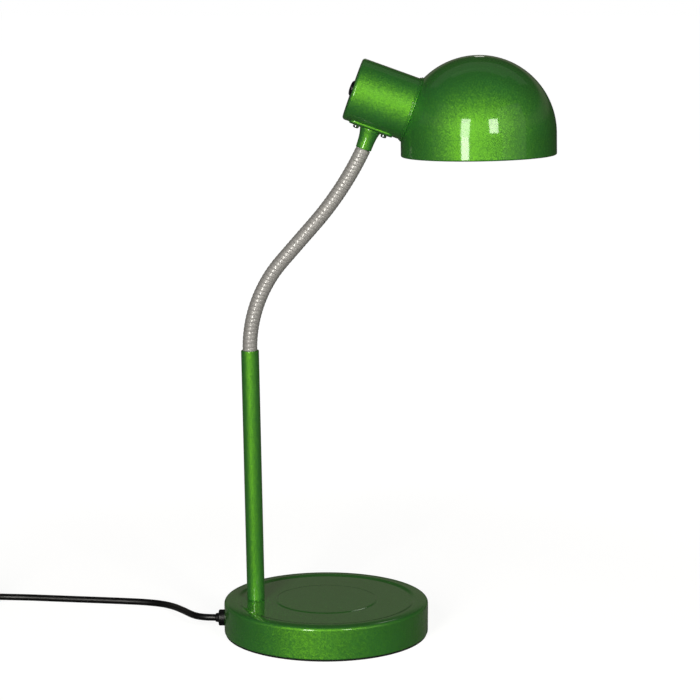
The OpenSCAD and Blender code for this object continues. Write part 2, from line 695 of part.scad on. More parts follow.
module holder_thread() color(brass) in_head() difference() {
    round_x(thread_back, thread_front - gap, thread_r + thread_t);
    round_x(thread_back - 1, thread_front + 1, thread_r);
}

module centre_contact() color(brass) in_head() {
    round_x(cavity_back, cavity_back + contact_t, contact_r);
    round_x(cavity_back + contact_t - eps, bulb_back - fit, contact_pip_r);
}

module side_contact() color(brass) in_head()
    translate([cavity_back, -side_contact_w / 2, side_contact_r])
        cube([thread_back - cavity_back, side_contact_w, thread_r + thread_t - 0.15 - side_contact_r]);

module terminal_screws() color(brass) in_head() for (y = [-1, 1])
    translate([holder_back, y * terminal_y, 0]) rotate([0, 90, 0])
        screw_up(terminal_d, terminal_d * 1.5, terminal_d * 0.4, terminal_len);

module bulb_cap() color(zinc) in_head()
    along_cup() polygon(concat([[cap_d / 2 - cap_t, cap_back]],
        [for (i = [0 : 5]) each [[cap_d / 2 - cap_t / 2, cap_back + cap_pitch * (i + 0.12)],
            [cap_d / 2, cap_back + cap_pitch * (i + 0.62)]]],
        [[cap_d / 2 - cap_t / 2, cap_front - 2], [cap_d / 2 - cap_t / 2, cap_front],
            [cap_d / 2 - 1.5 * cap_t, cap_front], [cap_d / 2 - 1.5 * cap_t, cap_back]]));

module bulb_tip() color(black) in_head()
    along_cup() polygon([[0, bulb_back], [contact_pip_r, bulb_back], [tip_r, bulb_back + 0.6],
        [tip_r, bulb_back + 0.8], [cap_d / 2 - 1.7 * cap_t, cap_back], [cap_d / 2 - 1.7 * cap_t, cap_back + over],
        [0, cap_back + over]]);

// Outline of the glass, in by a given depth
function glass_line(depth) = concat(
    [[glass_neck_r - depth - 0.5, cap_front - 5], [glass_neck_r - depth - 0.5, cap_front]],
    [[glass_neck_r - depth + 1, cap_front + 4], [glass_neck_r - depth + 1.8, cap_front + 7]],
    [for (a = [145 : -8 : 1]) [(bulb_r - depth) * sin(a), bulb_x + (bulb_r - depth) * cos(a)]],
    [[0, bulb_x + bulb_r - depth]]);

module bulb_glass() color(white) in_head() along_cup()
    polygon(concat(glass_line(0), reversed(glass_line(glass_t))));

module switch_body() color(black) in_head() difference() {
    round_x(rear_in_x + fit, switch_front, switch_r);
    round_x(rear_in_x - 1, switch_seat, lip_r + gap);
    difference() {
        round_x(switch_seat - 1, pocket_x, spring_r + 1.1);
        round_x(switch_seat - 2, pocket_x + 1, spring_r - 1.1);
    }
    round_x(switch_seat - 2, switch_front - 1.4, plunger_r + fit);
}

spring_turns = 4;
spring_len = pocket_x - pressed_x - 2 * gap;
spring_route = [for (i = [0 : 8 * spring_turns]) let (a = 45 * i)
    [pocket_x - gap - spring_len * i / (8 * spring_turns), spring_r * cos(a), spring_r * sin(a)]];

module switch_spring() color(zinc) in_head() swept(spring_route, spring_wire_d, 6);

module switch_button() color(black) in_head()
    along_cup() polygon([[0, rear_x - button_rise], [button_r * 0.35, rear_x - button_rise + 0.08],
        [button_r * 0.65, rear_x - button_rise + 0.35], [button_r * 0.87, rear_x - button_rise + 0.85],
        [button_r, rear_x - button_rise + 1.6], [button_r, lip_back], [lip_r, lip_back], [lip_r, lip_front],
        [plunger_r, lip_front], [plunger_r, plunger_front], [0, plunger_front]]);

// A core of the head's wiring from the neck's end round the lampholder, on the side s
lead_d = 2;
lead_x = (switch_front + holder_back) / 2;
function lead_route(s) = [[saddle_x, 1.4 * s, -saddle_r - 2], [saddle_x, 1.4 * s, -cup_r + 1.5],
    [saddle_x - 1.5, 2 * s, -18.5], [saddle_x - 5, 3.5 * s, -16.5], [lead_x + 0.4, 5 * s, -14], [lead_x, 6 * s, -11]];

module head_leads() in_head() {
    color("#6b4423") swept(concat(lead_route(-1), [[lead_x, -6.5, -7.5], [lead_x, -6.5, -4]]), lead_d, 6);
    color("#2f5f9e") swept(concat(lead_route(1), [[lead_x, 6, -7], [lead_x, 6, -4]]), lead_d, 6);
}

module cord_run() color(black) swept(run_route, cord_d, 8);

module cord_tail() color(black) swept(tail_route, cord_d, 8);

// Distance from the coil's axis and level of its cord, after t turns
function fold(t) = let (u = t % (2 * layer_turns)) u < layer_turns ? u : 2 * layer_turns - u;
function coil_level(t) = let (k = round(t / layer_turns), d = t - k * layer_turns)
    k < 1 || k > coil_layers - 1 ? (k < 1 ? 0 : coil_layers - 1)
    : k - 0.5 + max(-0.5, min(0.5, 2 * d));
function coil_point(t) = let (r = coil_start_r - coil_pitch * fold(t), a = 90 + 360 * t)
    coil_centre + [r * cos(a), r * sin(a), coil_pitch * coil_level(t)];
coil_path = concat([coil_point(0) + [cord_d, 0, 0]],
    [for (i = [0 : coil_turns * coil_steps]) coil_point(i / coil_steps)],
    [coil_point(coil_turns) - [cord_d, 0, 0]]);

// Least distance between the coil's cord and itself, half a turn or more along
coil_gap = min([for (i = [0 : len(coil_path) - 1]) for (j = [i + coil_steps / 2 : 1 : len(coil_path) - 1])
    norm(coil_path[i] - coil_path[j])]) - cord_d;
function path_length(p) = len(p) < 2 ? 0 : [for (i = 0, s = 0; i < len(p); i = i + 1,
    s = i < len(p) ? s + norm(p[i] - p[i - 1]) : s) s][len(p) - 1];
echo(coil_gap = coil_gap, cord_length = path_length(run_route) + path_length(coil_path) + path_length(tail_route));

module cord_coil() color(black) swept(coil_path, cord_d, 6);

tie_in_w = (layer_turns - 1) * coil_pitch + cord_d + 2 * gap;
tie_top = coil_top + cord_d / 2 + gap;

module cord_tie() color(black) translate([coil_centre[0] - tie_w / 2, coil_centre[1] - coil_r, 0]) difference() {
    translate([0, -tie_in_w / 2 - tie_t, 0]) cube([tie_w, tie_in_w + 2 * tie_t, tie_top + tie_t]);
    translate([-1, -tie_in_w / 2, tie_t]) cube([tie_w + 2, tie_in_w, tie_top - tie_t]);
}

plug_outline = concat(
    [[-6.4, 0], [-7.6, -4], [-11, -8], [-plug_w / 2 + 1.5, -14]],
    [[-plug_w / 2, -18], [-plug_w / 2, -plug_len + 1], [-plug_w / 2 + 1, -plug_len]]);

module plug_body() color(black) translate([plug_at[0], plug_at[1] - plug_neck_len, 0]) {
    linear_extrude(plug_t) polygon(concat(plug_outline, [for (p = reversed(plug_outline)) [-p[0], p[1]]]));
    translate([0, 0, plug_t / 2]) rotate([-90, 0, 0]) rotate_extrude() polygon(concat(
        [[0, -1], [5.2, -1], [5, 2]],
        [for (i = [0 : 4]) each [[5 - 0.3 * i, 2.6 + 3 * i], [4.2 - 0.2 * i, 3.2 + 3 * i], [4.1 - 0.2 * i, 4.6 + 3 * i],
            [4.8 - 0.3 * i, 5.2 + 3 * i]]],
        [[3.3, plug_neck_len], [0, plug_neck_len]]));
}

module plug_pins() color(zinc) for (x = [-1, 1])
    translate([plug_at[0] + x * pin_gap / 2, plug_at[1] - plug_neck_len - plug_len, plug_t / 2]) rotate([90, 0, 0]) {
        cylinder(h = pin_len - pin_r, r = pin_r, $fn = 32);
        translate([0, 0, pin_len - pin_r]) sphere(r = pin_r, $fn = 32);
    }

base_cover();
base_weight();
bottom_plate();
base_pad();
plate_screws();
cord_bushing();
cord_stop();
stem_tube();
stem_insert();
stem_nipple();
stem_washer();
stem_nut();
stem_leads();
neck_ferrule();
neck_link(0);  // neck_link_01
neck_link(1);  // neck_link_02
neck_link(2);  // neck_link_03
neck_link(3);  // neck_link_04
neck_link(4);  // neck_link_05
neck_link(5);  // neck_link_06
neck_link(6);  // neck_link_07
neck_link(7);  // neck_link_08
neck_link(8);  // neck_link_09
neck_link(9);  // neck_link_10
neck_link(10);  // neck_link_11
neck_link(11);  // neck_link_12
neck_link(12);  // neck_link_13
neck_link(13);  // neck_link_14
neck_cone();
saddle_plate();
saddle_screws();
saddle_nuts();
holder_cup();
shade_collar();
shade();
shade_ring();
lampholder_body();
holder_thread();
centre_contact();
side_contact();
terminal_screws();
bulb_cap();
bulb_tip();
bulb_glass();
switch_body();
switch_spring();
switch_button();
head_leads();
cord_run();
cord_coil();
cord_tail();
cord_tie();
plug_body();
plug_pins();
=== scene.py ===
"""Bedside lamp: weighted round base, upright tube, wound steel neck, cup and domed shade.

The lamp's classes hold their sizes in millimetres, and build_object turns them to metres. The studio's
sizes are in metres, and its camera's focal length is in pixels.
"""

from __future__ import annotations

import json
import logging
import math
import sys
from dataclasses import dataclass, field
from enum import Enum
from typing import Any, Sequence

import bmesh
import bpy
from mathutils import Matrix, Vector


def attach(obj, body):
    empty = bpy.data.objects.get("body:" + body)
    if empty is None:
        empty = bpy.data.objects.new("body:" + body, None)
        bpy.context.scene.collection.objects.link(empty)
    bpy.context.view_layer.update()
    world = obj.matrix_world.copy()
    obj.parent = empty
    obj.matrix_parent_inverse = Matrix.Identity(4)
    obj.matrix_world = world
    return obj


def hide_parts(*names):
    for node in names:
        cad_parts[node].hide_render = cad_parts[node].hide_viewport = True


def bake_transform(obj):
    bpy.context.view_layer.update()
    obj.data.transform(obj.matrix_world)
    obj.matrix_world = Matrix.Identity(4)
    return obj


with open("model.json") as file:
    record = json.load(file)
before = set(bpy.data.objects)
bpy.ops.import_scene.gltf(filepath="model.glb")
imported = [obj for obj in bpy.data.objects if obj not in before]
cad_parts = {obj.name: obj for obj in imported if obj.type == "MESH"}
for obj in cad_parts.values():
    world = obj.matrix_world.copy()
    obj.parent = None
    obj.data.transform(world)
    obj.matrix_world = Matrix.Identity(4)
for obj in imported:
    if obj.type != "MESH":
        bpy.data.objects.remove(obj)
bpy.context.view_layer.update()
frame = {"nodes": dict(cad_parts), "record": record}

MM = 0.001
IMAGE_PX = 700
LOG = logging.getLogger("bedside_lamp")

Point2 = tuple[float, float]
Point3 = tuple[float, float, float]
Faces = list[list[int]]
Shell = tuple[list[Vector], Faces]
Object = bpy.types.Object
Node = bpy.types.Node
Tree = bpy.types.NodeTree
Socket = bpy.types.NodeSocket
Inputs = dict[str | int, Any]

# The sockets of a Mix node that mixes colours
MIX_A, MIX_B, MIX_OUT = 6, 7, 2


# Shapes


def rounded(corners: Sequence[Point3], steps: int = 5) -> list[Point2]:
    """Rounds the corners of a closed outline.

    Args:
        corners: x, y and fillet radius of each corner, in order.
        steps: points of an arc, less one.

    Returns:
        The outline's points.
    """
    most = 0.49  # of a side, for the fillet at each of its ends
    out: list[Point2] = []
    for i, (x, y, radius) in enumerate(corners):
        if radius <= 0:
            out.append((x, y))
            continue
        here = Vector((x, y))
        back = Vector(corners[i - 1][:2]) - here
        ahead = Vector(corners[(i + 1) % len(corners)][:2]) - here
        half = back.angle(ahead) / 2
        reach = min(radius / math.tan(half), most * back.length, most * ahead.length)
        back.normalize()
        ahead.normalize()
        centre = here + (back + ahead).normalized() * (reach / math.cos(half))
        first = here + back * reach - centre
        last = here + ahead * reach - centre
        start = math.atan2(first.y, first.x)
        turn = (math.atan2(last.y, last.x) - start + math.pi) % (2 * math.pi) - math.pi
        for j in range(steps + 1):
            a = start + turn * j / steps
            out.append((centre.x + first.length * math.cos(a), centre.y + first.length * math.sin(a)))
    return out


def rounded_box(left: float, right: float, low: float, high: float, edge: float, steps: int) -> list[Point2]:
    """Outline of a box with rounded corners, from its lower left corner to the right and round."""
    return rounded([(left, low, edge), (right, low, edge), (right, high, edge), (left, high, edge)], steps)


def arc(centre: Point2, radius: float, start: float, end: float, steps: int) -> list[Point2]:
    """Points on an arc.

    Args:
        centre: the arc's centre.
        radius: its radius.
        start: the first angle, in degrees.
        end: the last angle, in degrees.
        steps: points less one.

    Returns:
        The points, from start to end.
    """
    out = []
    for i in range(steps + 1):
        a = math.radians(start + (end - start) * i / steps)
        out.append((centre[0] + radius * math.cos(a), centre[1] + radius * math.sin(a)))
    return out


def quarter(radius: float, steps: int) -> list[Point2]:
    """Points on a quarter circle, from a pole that is exactly on the axis to the equator."""
    return [(0.0, radius), *arc((0, 0), radius, 90, 0, steps)[1:]]


def eased(t: float) -> float:
    """A step from 0 to 1 that starts and ends level."""
    return (1 - math.cos(math.pi * t)) / 2


def circle(count: int, shift: float = 0.0) -> list[float]:
    """Even angles round a circle, in radians, shifted by a share of the angle between two."""
    return [2 * math.pi * (j + shift) / count for j in range(count)]


def skinned(rings: Sequence[Sequence[Vector]], closed: bool, capped: bool = False) -> Shell:
    """A skin over rings of points.

    Args:
        rings: the rings, where a ring of one point is a pole.
        closed: whether the last ring joins the first.
        capped: whether a face closes each end.

    Returns:
        Points and faces.
    """
    points: list[Vector] = []
    numbers: list[list[int]] = []
    for ring in rings:
        numbers.append(list(range(len(points), len(points) + len(ring))))
        points += ring
    faces: Faces = []
    for a, b in list(zip(numbers, numbers[1:])) + ([(numbers[-1], numbers[0])] if closed else []):
        sides = max(len(a), len(b))
        for j in range(sides if sides > 1 else 0):
            k = (j + 1) % sides
            faces.append(list(dict.fromkeys([a[j % len(a)], a[k % len(a)], b[k % len(b)], b[j % len(b)]])))
    if capped:
        faces += [numbers[0][::-1], numbers[-1]]
    return points, faces


def merged(shells: Sequence[Shell]) -> Shell:
    """Several skins as one.

    Args:
        shells: points and faces of each.

    Returns:
        Points and faces.
    """
    points: list[Vector] = []
    faces: Faces = []
    for more, sides in shells:
        faces += [[v + len(points) for v in face] for face in sides]
        points += more
    return points, faces


def guarded(profile: Sequence[Point2], reach: float = 0.4, longest: float = 3.0) -> list[Point2]:
    """Adds a point near each end of a profile's long runs, so that the shading of a rounded edge ends there.

    Args:
        profile: radius and height of each point.
        reach: distance of the added points from the run's ends.
        longest: runs longer than this get them.

    Returns:
        The closed profile's points.
    """
    line: list[Point2] = []
    for a, b in zip(profile, [*profile[1:], profile[0]]):
        line.append(a)
        length = math.dist(a, b)
        if length > longest and max(a[0], b[0]) > 0:
            for share in (reach / length, 1 - reach / length):
                line.append((a[0] + (b[0] - a[0]) * share, a[1] + (b[1] - a[1]) * share))
    return line


def lathe(profile: Sequence[Point2], sides: int) -> Shell:
    """Turns a closed profile about Z.

    Args:
        profile: radius and height of each point.
        sides: points round the axis.

    Returns:
        Points and faces.
    """
    rings = [
        [Vector((r * math.cos(a), r * math.sin(a), h)) for a in circle(sides if r > 0 else 1)]
        for r, h in guarded(profile)
    ]
    return skinned(rings, True)


def carried_frames(path: Sequence[Vector]) -> list[tuple[Vector, Vector]]:
    """Two directions square to a path at each of its points, carried along it without twist.

    Args:
        path: the path's points.

    Returns:
        The pairs of directions.
    """
    ways = [(path[min(i + 1, len(path) - 1)] - path[max(i - 1, 0)]).normalized() for i in range(len(path))]
    side = ways[0].cross(Vector((0, 0, 1)) if abs(ways[0].z) < 0.9 else Vector((1, 0, 0))).normalized()
    out = []
    for way in ways:
        side = (side - way * side.dot(way)).normalized()
        out.append((side, way.cross(side)))
    return out


def tube(path: Sequence[Vector], radius: float, sides: int) -> Shell:
    """Sweeps a round section along a path and closes its ends.

    Args:
        path: the path's points.
        radius: the section's radius.
        sides: points round the section.

    Returns:
        Points and faces.
    """
    rings = [
        [spot + (u * math.cos(a) + v * math.sin(a)) * radius for a in circle(sides)]
        for spot, (u, v) in zip(path, carried_frames(path))
    ]
    return skinned(rings, False, True)


def smooth_line(points: Sequence[Vector], steps: int) -> list[Vector]:
    """A smooth line through points.

    Args:
        points: the points that it passes through.
        steps: parts of each stretch.

    Returns:
        The finer points.
    """
    out: list[Vector] = []
    for i in range(len(points) - 1):
        b, c = points[i], points[i + 1]
        a = points[i - 1] if i else b * 2 - c
        d = points[i + 2] if i + 2 < len(points) else c * 2 - b
        for j in range(steps):
            t = j / steps
            spot = 2 * b + (c - a) * t + (2 * a - 5 * b + 4 * c - d) * t * t
            out.append(0.5 * (spot + (3 * b - a - 3 * c + d) * t**3))
    out.append(points[-1].copy())
    return out


def build_object(
    name: str, points: Sequence[Vector], faces: Faces, place: Matrix | None = None, sharp: float = 38.0
) -> Object:
    """Makes a mesh object in metres, smooth but for its sharp edges.

    Args:
        name: the object's name.
        points: its points, in millimetres.
        faces: its faces.
        place: the frame that the points are in.
        sharp: edges bent by more than this many degrees stay sharp.

    Returns:
        The object.
    """
    place = place or Matrix.Identity(4)
    mesh = bpy.data.meshes.new(name)
    mesh.from_pydata([(place @ p) * MM for p in points], [], faces)
    work = bmesh.new()
    work.from_mesh(mesh)
    bmesh.ops.recalc_face_normals(work, faces=work.faces)
    for face in work.faces:
        face.smooth = True
    for edge in work.edges:
        edge.smooth = not edge.is_manifold or edge.calc_face_angle(0.0) < math.radians(sharp)
    work.to_mesh(mesh)
    work.free()
    obj = bpy.data.objects.new(name, mesh)
    bpy.context.scene.collection.objects.link(obj)
    return obj


# Finishes


def linear(code: str) -> tuple[float, float, float, float]:
    """Turns an sRGB hex colour to linear light.

    Args:
        code: six hex digits after a number sign.

    Returns:
        Red, green, blue and alpha.
    """
    parts = [int(code[i : i + 2], 16) / 255 for i in (1, 3, 5)]
    out = [c / 12.92 if c <= 0.04045 else ((c + 0.055) / 1.055) ** 2.4 for c in parts]
    return (out[0], out[1], out[2], 1.0)


def feed(tree: Tree, node: Node, inputs: Inputs) -> None:
    """Sets or links a node's inputs.

    Args:
        tree: the node tree.
        node: the node.
        inputs: for each input, a value or the output socket that feeds it.
    """
    for key, value in inputs.items():
        if isinstance(value, Socket):
            tree.links.new(value, node.inputs[key])
        else:
            node.inputs[key].default_value = value


def add_node(tree: Tree, kind: str, inputs: Inputs | None = None, **settings: Any) -> Node:
    """Adds a node with its settings and links.

    Args:
        tree: the node tree.
        kind: the node's type, after the word ShaderNode.
        inputs: for each input, a value or the output socket that feeds it.
        settings: the node's own settings.

    Returns:
        The node.
    """
    node = tree.nodes.new("ShaderNode" + kind)
    for key, value in settings.items():
        setattr(node, key, value)
    feed(tree, node, inputs or {})
    return node


def emptied_tree(owner: bpy.types.Material | bpy.types.World) -> Tree:
    """The node tree of a new material or world, without its nodes.

    Args:
        owner: the material or world.

    Returns:
        The empty tree.
    """
    owner.use_nodes = True
    owner.node_tree.nodes.clear()
    return owner.node_tree


@dataclass(frozen=True)
class Surface:
    """A material in the making: its tree, its principled shader and the place on the object, in metres."""

    tree: Tree
    shader: Node
    where: Socket

    def add(self, kind: str, inputs: Inputs | None = None, **settings: Any) -> Node:
        """Adds a node to the material."""
        return add_node(self.tree, kind, inputs, **settings)

    def set(self, inputs: Inputs) -> None:
        """Sets or links inputs of the principled shader."""
        feed(self.tree, self.shader, inputs)

    def grain(self, size_mm: float, detail: float = 2.0) -> Socket:
        """Noise from 0 to 1 with grains of a real size, and finer layers of it."""
        noise = {"Vector": self.where, "Scale": 1 / (size_mm * MM), "Detail": detail, "Roughness": 0.55}
        return self.add("TexNoise", noise).outputs["Fac"]

    def spread(self, noise: Socket, low: float, high: float) -> Socket:
        """Maps noise onto a range of values.

        Args:
            noise: the noise, most of which lies from 0.3 to 0.7.
            low: the value where the noise is low.
            high: the value where the noise is high.

        Returns:
            The mapped value.
        """
        span = {"Value": noise, "From Min": 0.3, "From Max": 0.7, "To Min": low, "To Max": high}
        return self.add("MapRange", span).outputs["Result"]

    def two_tone(self, noise: Socket, first: str, second: str) -> Socket:
        """Mixes two colours.

        Args:
            noise: the noise that mixes them.
            first: the first colour's hex code.
            second: the second colour's hex code.

        Returns:
            The mixed colour.
        """
        mix = {"Factor": self.spread(noise, 0.0, 1.0), MIX_A: linear(first), MIX_B: linear(second)}
        return self.add("Mix", mix, data_type="RGBA").outputs[MIX_OUT]

    def bump(self, height: Socket, depth_mm: float, share: float = 1.0) -> Socket:
        """The normal bent by a relief of a real depth, of which a share shows."""
        relief = {"Height": height, "Distance": depth_mm * MM, "Strength": share}
        return self.add("Bump", relief).outputs["Normal"]


@dataclass(frozen=True)
class Finish:
    """A finish on a solid surface."""

    name: str

    def material(self) -> bpy.types.Material:
        """The finish as a material, made once.

        Returns:
            The material.
        """
        known = bpy.data.materials.get(self.name)
        if known:
            return known
        made = bpy.data.materials.new(self.name)
        tree = emptied_tree(made)
        shader = add_node(tree, "BsdfPrincipled")
        add_node(tree, "OutputMaterial", {"Surface": shader.outputs[0]})
        self.dress(Surface(tree, shader, add_node(tree, "TexCoord").outputs["Object"]))
        return made

    def dress(self, skin: Surface) -> None:
        """Sets the shader's inputs and adds the surface's detail."""
        raise NotImplementedError


@dataclass(frozen=True)
class FleckLacquer(Finish):
    """Sprayed green metallic lacquer under clear gloss: deep colour, fine sparkle, crisp white highlights."""

    pigment: str = "#0a8c59"
    pigment_dark: str = "#088552"
    cloud_mm: float = 14.0
    specular: float = 0.2
    flake: str = "#74bc0c"
    flake_share: float = 0.7
    roughness: float = 0.57
    fleck_mm: float = 0.7
    fleck_tilt: float = 0.24
    peel_mm: float = 5.0
    peel_depth_mm: float = 0.02
    peel_share: float = 0.15
    gloss: float = 0.08
    coat_ior: float = 1.5

    def dress(self, skin: Surface) -> None:
        """Mixes green pigment with tilted yellow-green flakes under a clear coat with faint orange peel.

        Args:
            skin: the material in the making.
        """
        # Flakes are about 0.03 mm and are drawn 0.7 mm across, so that they show as a fine sparkle.
        cells = skin.add("TexVoronoi", {"Vector": skin.where, "Scale": 1 / (self.fleck_mm * MM)})
        lean = {0: cells.outputs["Color"], 1: (self.fleck_tilt,) * 3, 2: (-self.fleck_tilt / 2,) * 3}
        tilt = skin.add("VectorMath", lean, operation="MULTIPLY_ADD")
        flat = skin.add("NewGeometry").outputs["Normal"]
        turned = skin.add("VectorMath", {0: flat, 1: tilt.outputs[0]}, operation="ADD")
        normal = skin.add("VectorMath", {0: turned.outputs[0]}, operation="NORMALIZE")
        tone = skin.two_tone(skin.grain(self.cloud_mm, 3.0), self.pigment, self.pigment_dark)
        skin.set({"Base Color": tone, "Roughness": self.roughness, "Specular IOR Level": self.specular})
        metal = {"Base Color": linear(self.flake), "Metallic": 1.0, "Roughness": self.roughness}
        flakes = skin.add("BsdfPrincipled", {**metal, "Normal": normal.outputs[0]})
        peel = skin.bump(skin.grain(self.peel_mm, 1.0), self.peel_depth_mm, self.peel_share)
        coat = {"Coat Weight": 1.0, "Coat Roughness": self.gloss, "Coat IOR": self.coat_ior}
        for layer in (skin.shader, flakes):
            feed(skin.tree, layer, {**coat, "Coat Normal": peel})
        both = skin.add("MixShader", {0: self.flake_share, 1: skin.shader.outputs[0], 2: flakes.outputs[0]})
        feed(skin.tree, skin.tree.nodes["Material Output"], {"Surface": both.outputs[0]})


@dataclass(frozen=True)
class Enamel(Finish):
    """White stove enamel on the shade's inside: an even, half gloss reflector with a little orange peel."""

    colour: str = "#f1efe8"
    shaded: str = "#e9e6dd"
    cloud_mm: float = 9.0
    roughness: float = 0.28
    ior: float = 1.5
    peel_mm: float = 2.5
    peel_depth_mm: float = 0.03
    peel_share: float = 0.6

    def dress(self, skin: Surface) -> None:
        """A half gloss skin.

        Args:
            skin: the material in the making.
        """
        tone = skin.two_tone(skin.grain(self.cloud_mm), self.colour, self.shaded)
        peel = skin.bump(skin.grain(self.peel_mm, 1.0), self.peel_depth_mm, self.peel_share)
        skin.set({"Base Color": tone, "Roughness": self.roughness, "IOR": self.ior, "Normal": peel})


@dataclass(frozen=True)
class Metal(Finish):
    """A bare or plated metal: tinted reflections, with wear and grain of a real size."""

    colour: str = "#b9b6b0"
    dull: str = "#96938d"
    roughness: float = 0.25
    roughness_dull: float = 0.4
    grain_mm: float = 1.5
    relief_mm: float = 0.01
    metallic: float = 1.0
    clear: float = 0.0
    clear_roughness: float = 0.05

    def dress(self, skin: Surface) -> None:
        """Patches of brighter and duller metal, under a clear coat where there is one.

        Args:
            skin: the material in the making.
        """
        patches = skin.grain(self.grain_mm, 3.0)
        tone = skin.two_tone(patches, self.colour, self.dull)
        wear = skin.spread(patches, self.roughness, self.roughness_dull)
        relief = skin.bump(skin.grain(self.grain_mm / 3), self.relief_mm)
        skin.set({"Base Color": tone, "Roughness": wear, "Normal": relief, "Metallic": self.metallic})
        skin.set({"Coat Weight": self.clear, "Coat Roughness": self.clear_roughness})


@dataclass(frozen=True)
class Moulding(Finish):
    """A moulded plastic or rubber skin: even colour, fine texture and a sheen set by its roughness."""

    colour: str = "#151517"
    worn: str = "#1d1d20"
    roughness: float = 0.4
    texture_mm: float = 0.5
    relief_mm: float = 0.01
    ior: float = 1.5
    cloud_mm: float = 7.0
    smoother: float = 0.04
    rougher: float = 0.05

    def dress(self, skin: Surface) -> None:
        """A fine spark texture over faint shading.

        Args:
            skin: the material in the making.
        """
        clouds = skin.grain(self.cloud_mm, 3.0)
        tone = skin.two_tone(clouds, self.colour, self.worn)
        sheen = skin.spread(clouds, self.roughness - self.smoother, self.roughness + self.rougher)
        relief = skin.bump(skin.grain(self.texture_mm), self.relief_mm)
        skin.set({"Base Color": tone, "Roughness": sheen, "Normal": relief, "IOR": self.ior})


@dataclass(frozen=True)
class OpalGlass(Finish):
    """Opal bulb glass: milky and glossy, with light spreading a little below the skin."""

    colour: str = "#f3f0e6"
    shaded: str = "#ece8dc"
    cloud_mm: float = 12.0
    roughness: float = 0.12
    ior: float = 1.52
    milk: float = 0.3
    milk_mm: float = 2.0

    def dress(self, skin: Surface) -> None:
        """A milky body under a smooth surface.

        Args:
            skin: the material in the making.
        """
        tone = skin.two_tone(skin.grain(self.cloud_mm), self.colour, self.shaded)
        skin.set({"Base Color": tone, "Roughness": self.roughness, "IOR": self.ior})
        skin.set({"Subsurface Weight": self.milk, "Subsurface Radius": (self.milk_mm * MM,) * 3})


class Finishes:
    """The lamp's finishes by what they are made of."""

    # Metallic lacquer on all painted sheet: deep green that turns yellow-green where the light falls
    LACQUER = FleckLacquer("green_metallic_lacquer")
    # Stove enamel inside the shade: warm white, half gloss
    ENAMEL = Enamel("white_stove_enamel")
    # Satin nickel on wound steel, clear lacquered: warm light grey, fine glints over a soft highlight
    NICKEL_STEEL = Metal("satin_nickel_wound_steel", "#cfcdcb", "#a3a09e", 0.48, 0.62, 0.8, 0.006, 0.35, 1.0)
    # Bright zinc on screws, nuts and washers: cool and slightly mottled
    ZINC = Metal("bright_zinc_plate", "#c9ccd0", "#a9acb1", 0.22, 0.34, 1.0, 0.008)
    # Zinc on rolled sheet: dull, with a faint spangle
    ZINC_SHEET = Metal("zinc_plated_sheet", "#a5a7aa", "#85878b", 0.35, 0.5, 3.0, 0.01)
    # Turned and pressed brass of the electrical parts, the tube's insert and the neck's foot: yellow, bright
    BRASS = Metal("turned_brass", "#c2a35a", "#9d8244", 0.2, 0.34, 1.0, 0.006)
    # Rolled aluminium of the bulb's cap: pale and a little soft
    ALUMINIUM = Metal("rolled_aluminium", "#c8c9cb", "#a4a6aa", 0.24, 0.36, 0.9, 0.006)
    # Drawn spring wire: darker grey, smooth
    SPRING_STEEL = Metal("drawn_spring_steel", "#8f9094", "#6f7074", 0.25, 0.36, 0.6, 0.004)
    # Bright nickel on the plug's pins: warm and nearly mirror smooth
    NICKEL = Metal("bright_nickel_plate", "#c6c3bb", "#aaa69e", 0.14, 0.26, 1.0, 0.004)
    # Dip-painted iron casting: coarse sand skin
    CAST_IRON = Metal("painted_cast_iron", "#343437", "#242427", 0.5, 0.68, 1.6, 0.15, 0.25)
    # Soft PVC sheath, extruded: near black, with a soft sheen and a fine grain
    SHEATH = Moulding("extruded_pvc_sheath", "#050506", "#09090a", 0.36, 0.8, 0.012, 1.53)
    # Moulded PVC of the plug, its pins' sleeves and the strain relief: black, with a soft sheen
    PVC = Moulding("moulded_pvc", "#0b0b0c", "#111113", 0.36, 0.6, 0.012, 1.53)
    # Glossy ABS of the push button: black, with sharp reflections
    ABS = Moulding("gloss_black_abs", "#0d0d0f", "#131316", 0.14, 0.6, 0.003, 1.54)
    # Phenolic of the lampholder and the switch: dark brown-black, dull gloss
    PHENOLIC = Moulding("moulded_phenolic", "#16130f", "#1f1a15", 0.3, 0.7, 0.008, 1.6)
    # Foam rubber under the base: open, matt
    FOAM_PAD = Moulding("foam_rubber_pad", "#0c0c0d", "#141415", 0.85, 0.5, 0.15, 1.5)
    # Rubber band round the coil: dark grey, matt
    BLACK_BAND = Moulding("black_rubber_band", "#101012", "#18181b", 0.55, 0.5, 0.02, 1.52)
    # Insulation of the cores inside the lamp: brown, half gloss
    CORE_BROWN = Moulding("brown_core_insulation", "#6b4423", "#5f3c1f", 0.4, 0.5, 0.005, 1.53)
    # Opal glass of the bulb: milky white, glossy
    OPAL = OpalGlass("opal_bulb_glass")


class Slot(Enum):
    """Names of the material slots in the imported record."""

    PAINT = "green_paint"
    NECK = "neck_steel"
    BUTTON = "black_plastic"
    GLASS = "opal_glass"
    SHEATH = "cord_sheath"
    RUBBER = "black_rubber"
    PLUG = "plug_plastic"
    PINS = "plug_metal"
    SCREWS = "zinc_steel"


def report(obj: Object, finish: Finish) -> None:
    """Logs a piece with its finish and its number of faces."""
    LOG.info("%s: %s, %d faces", obj.name, finish.name, len(obj.data.polygons))


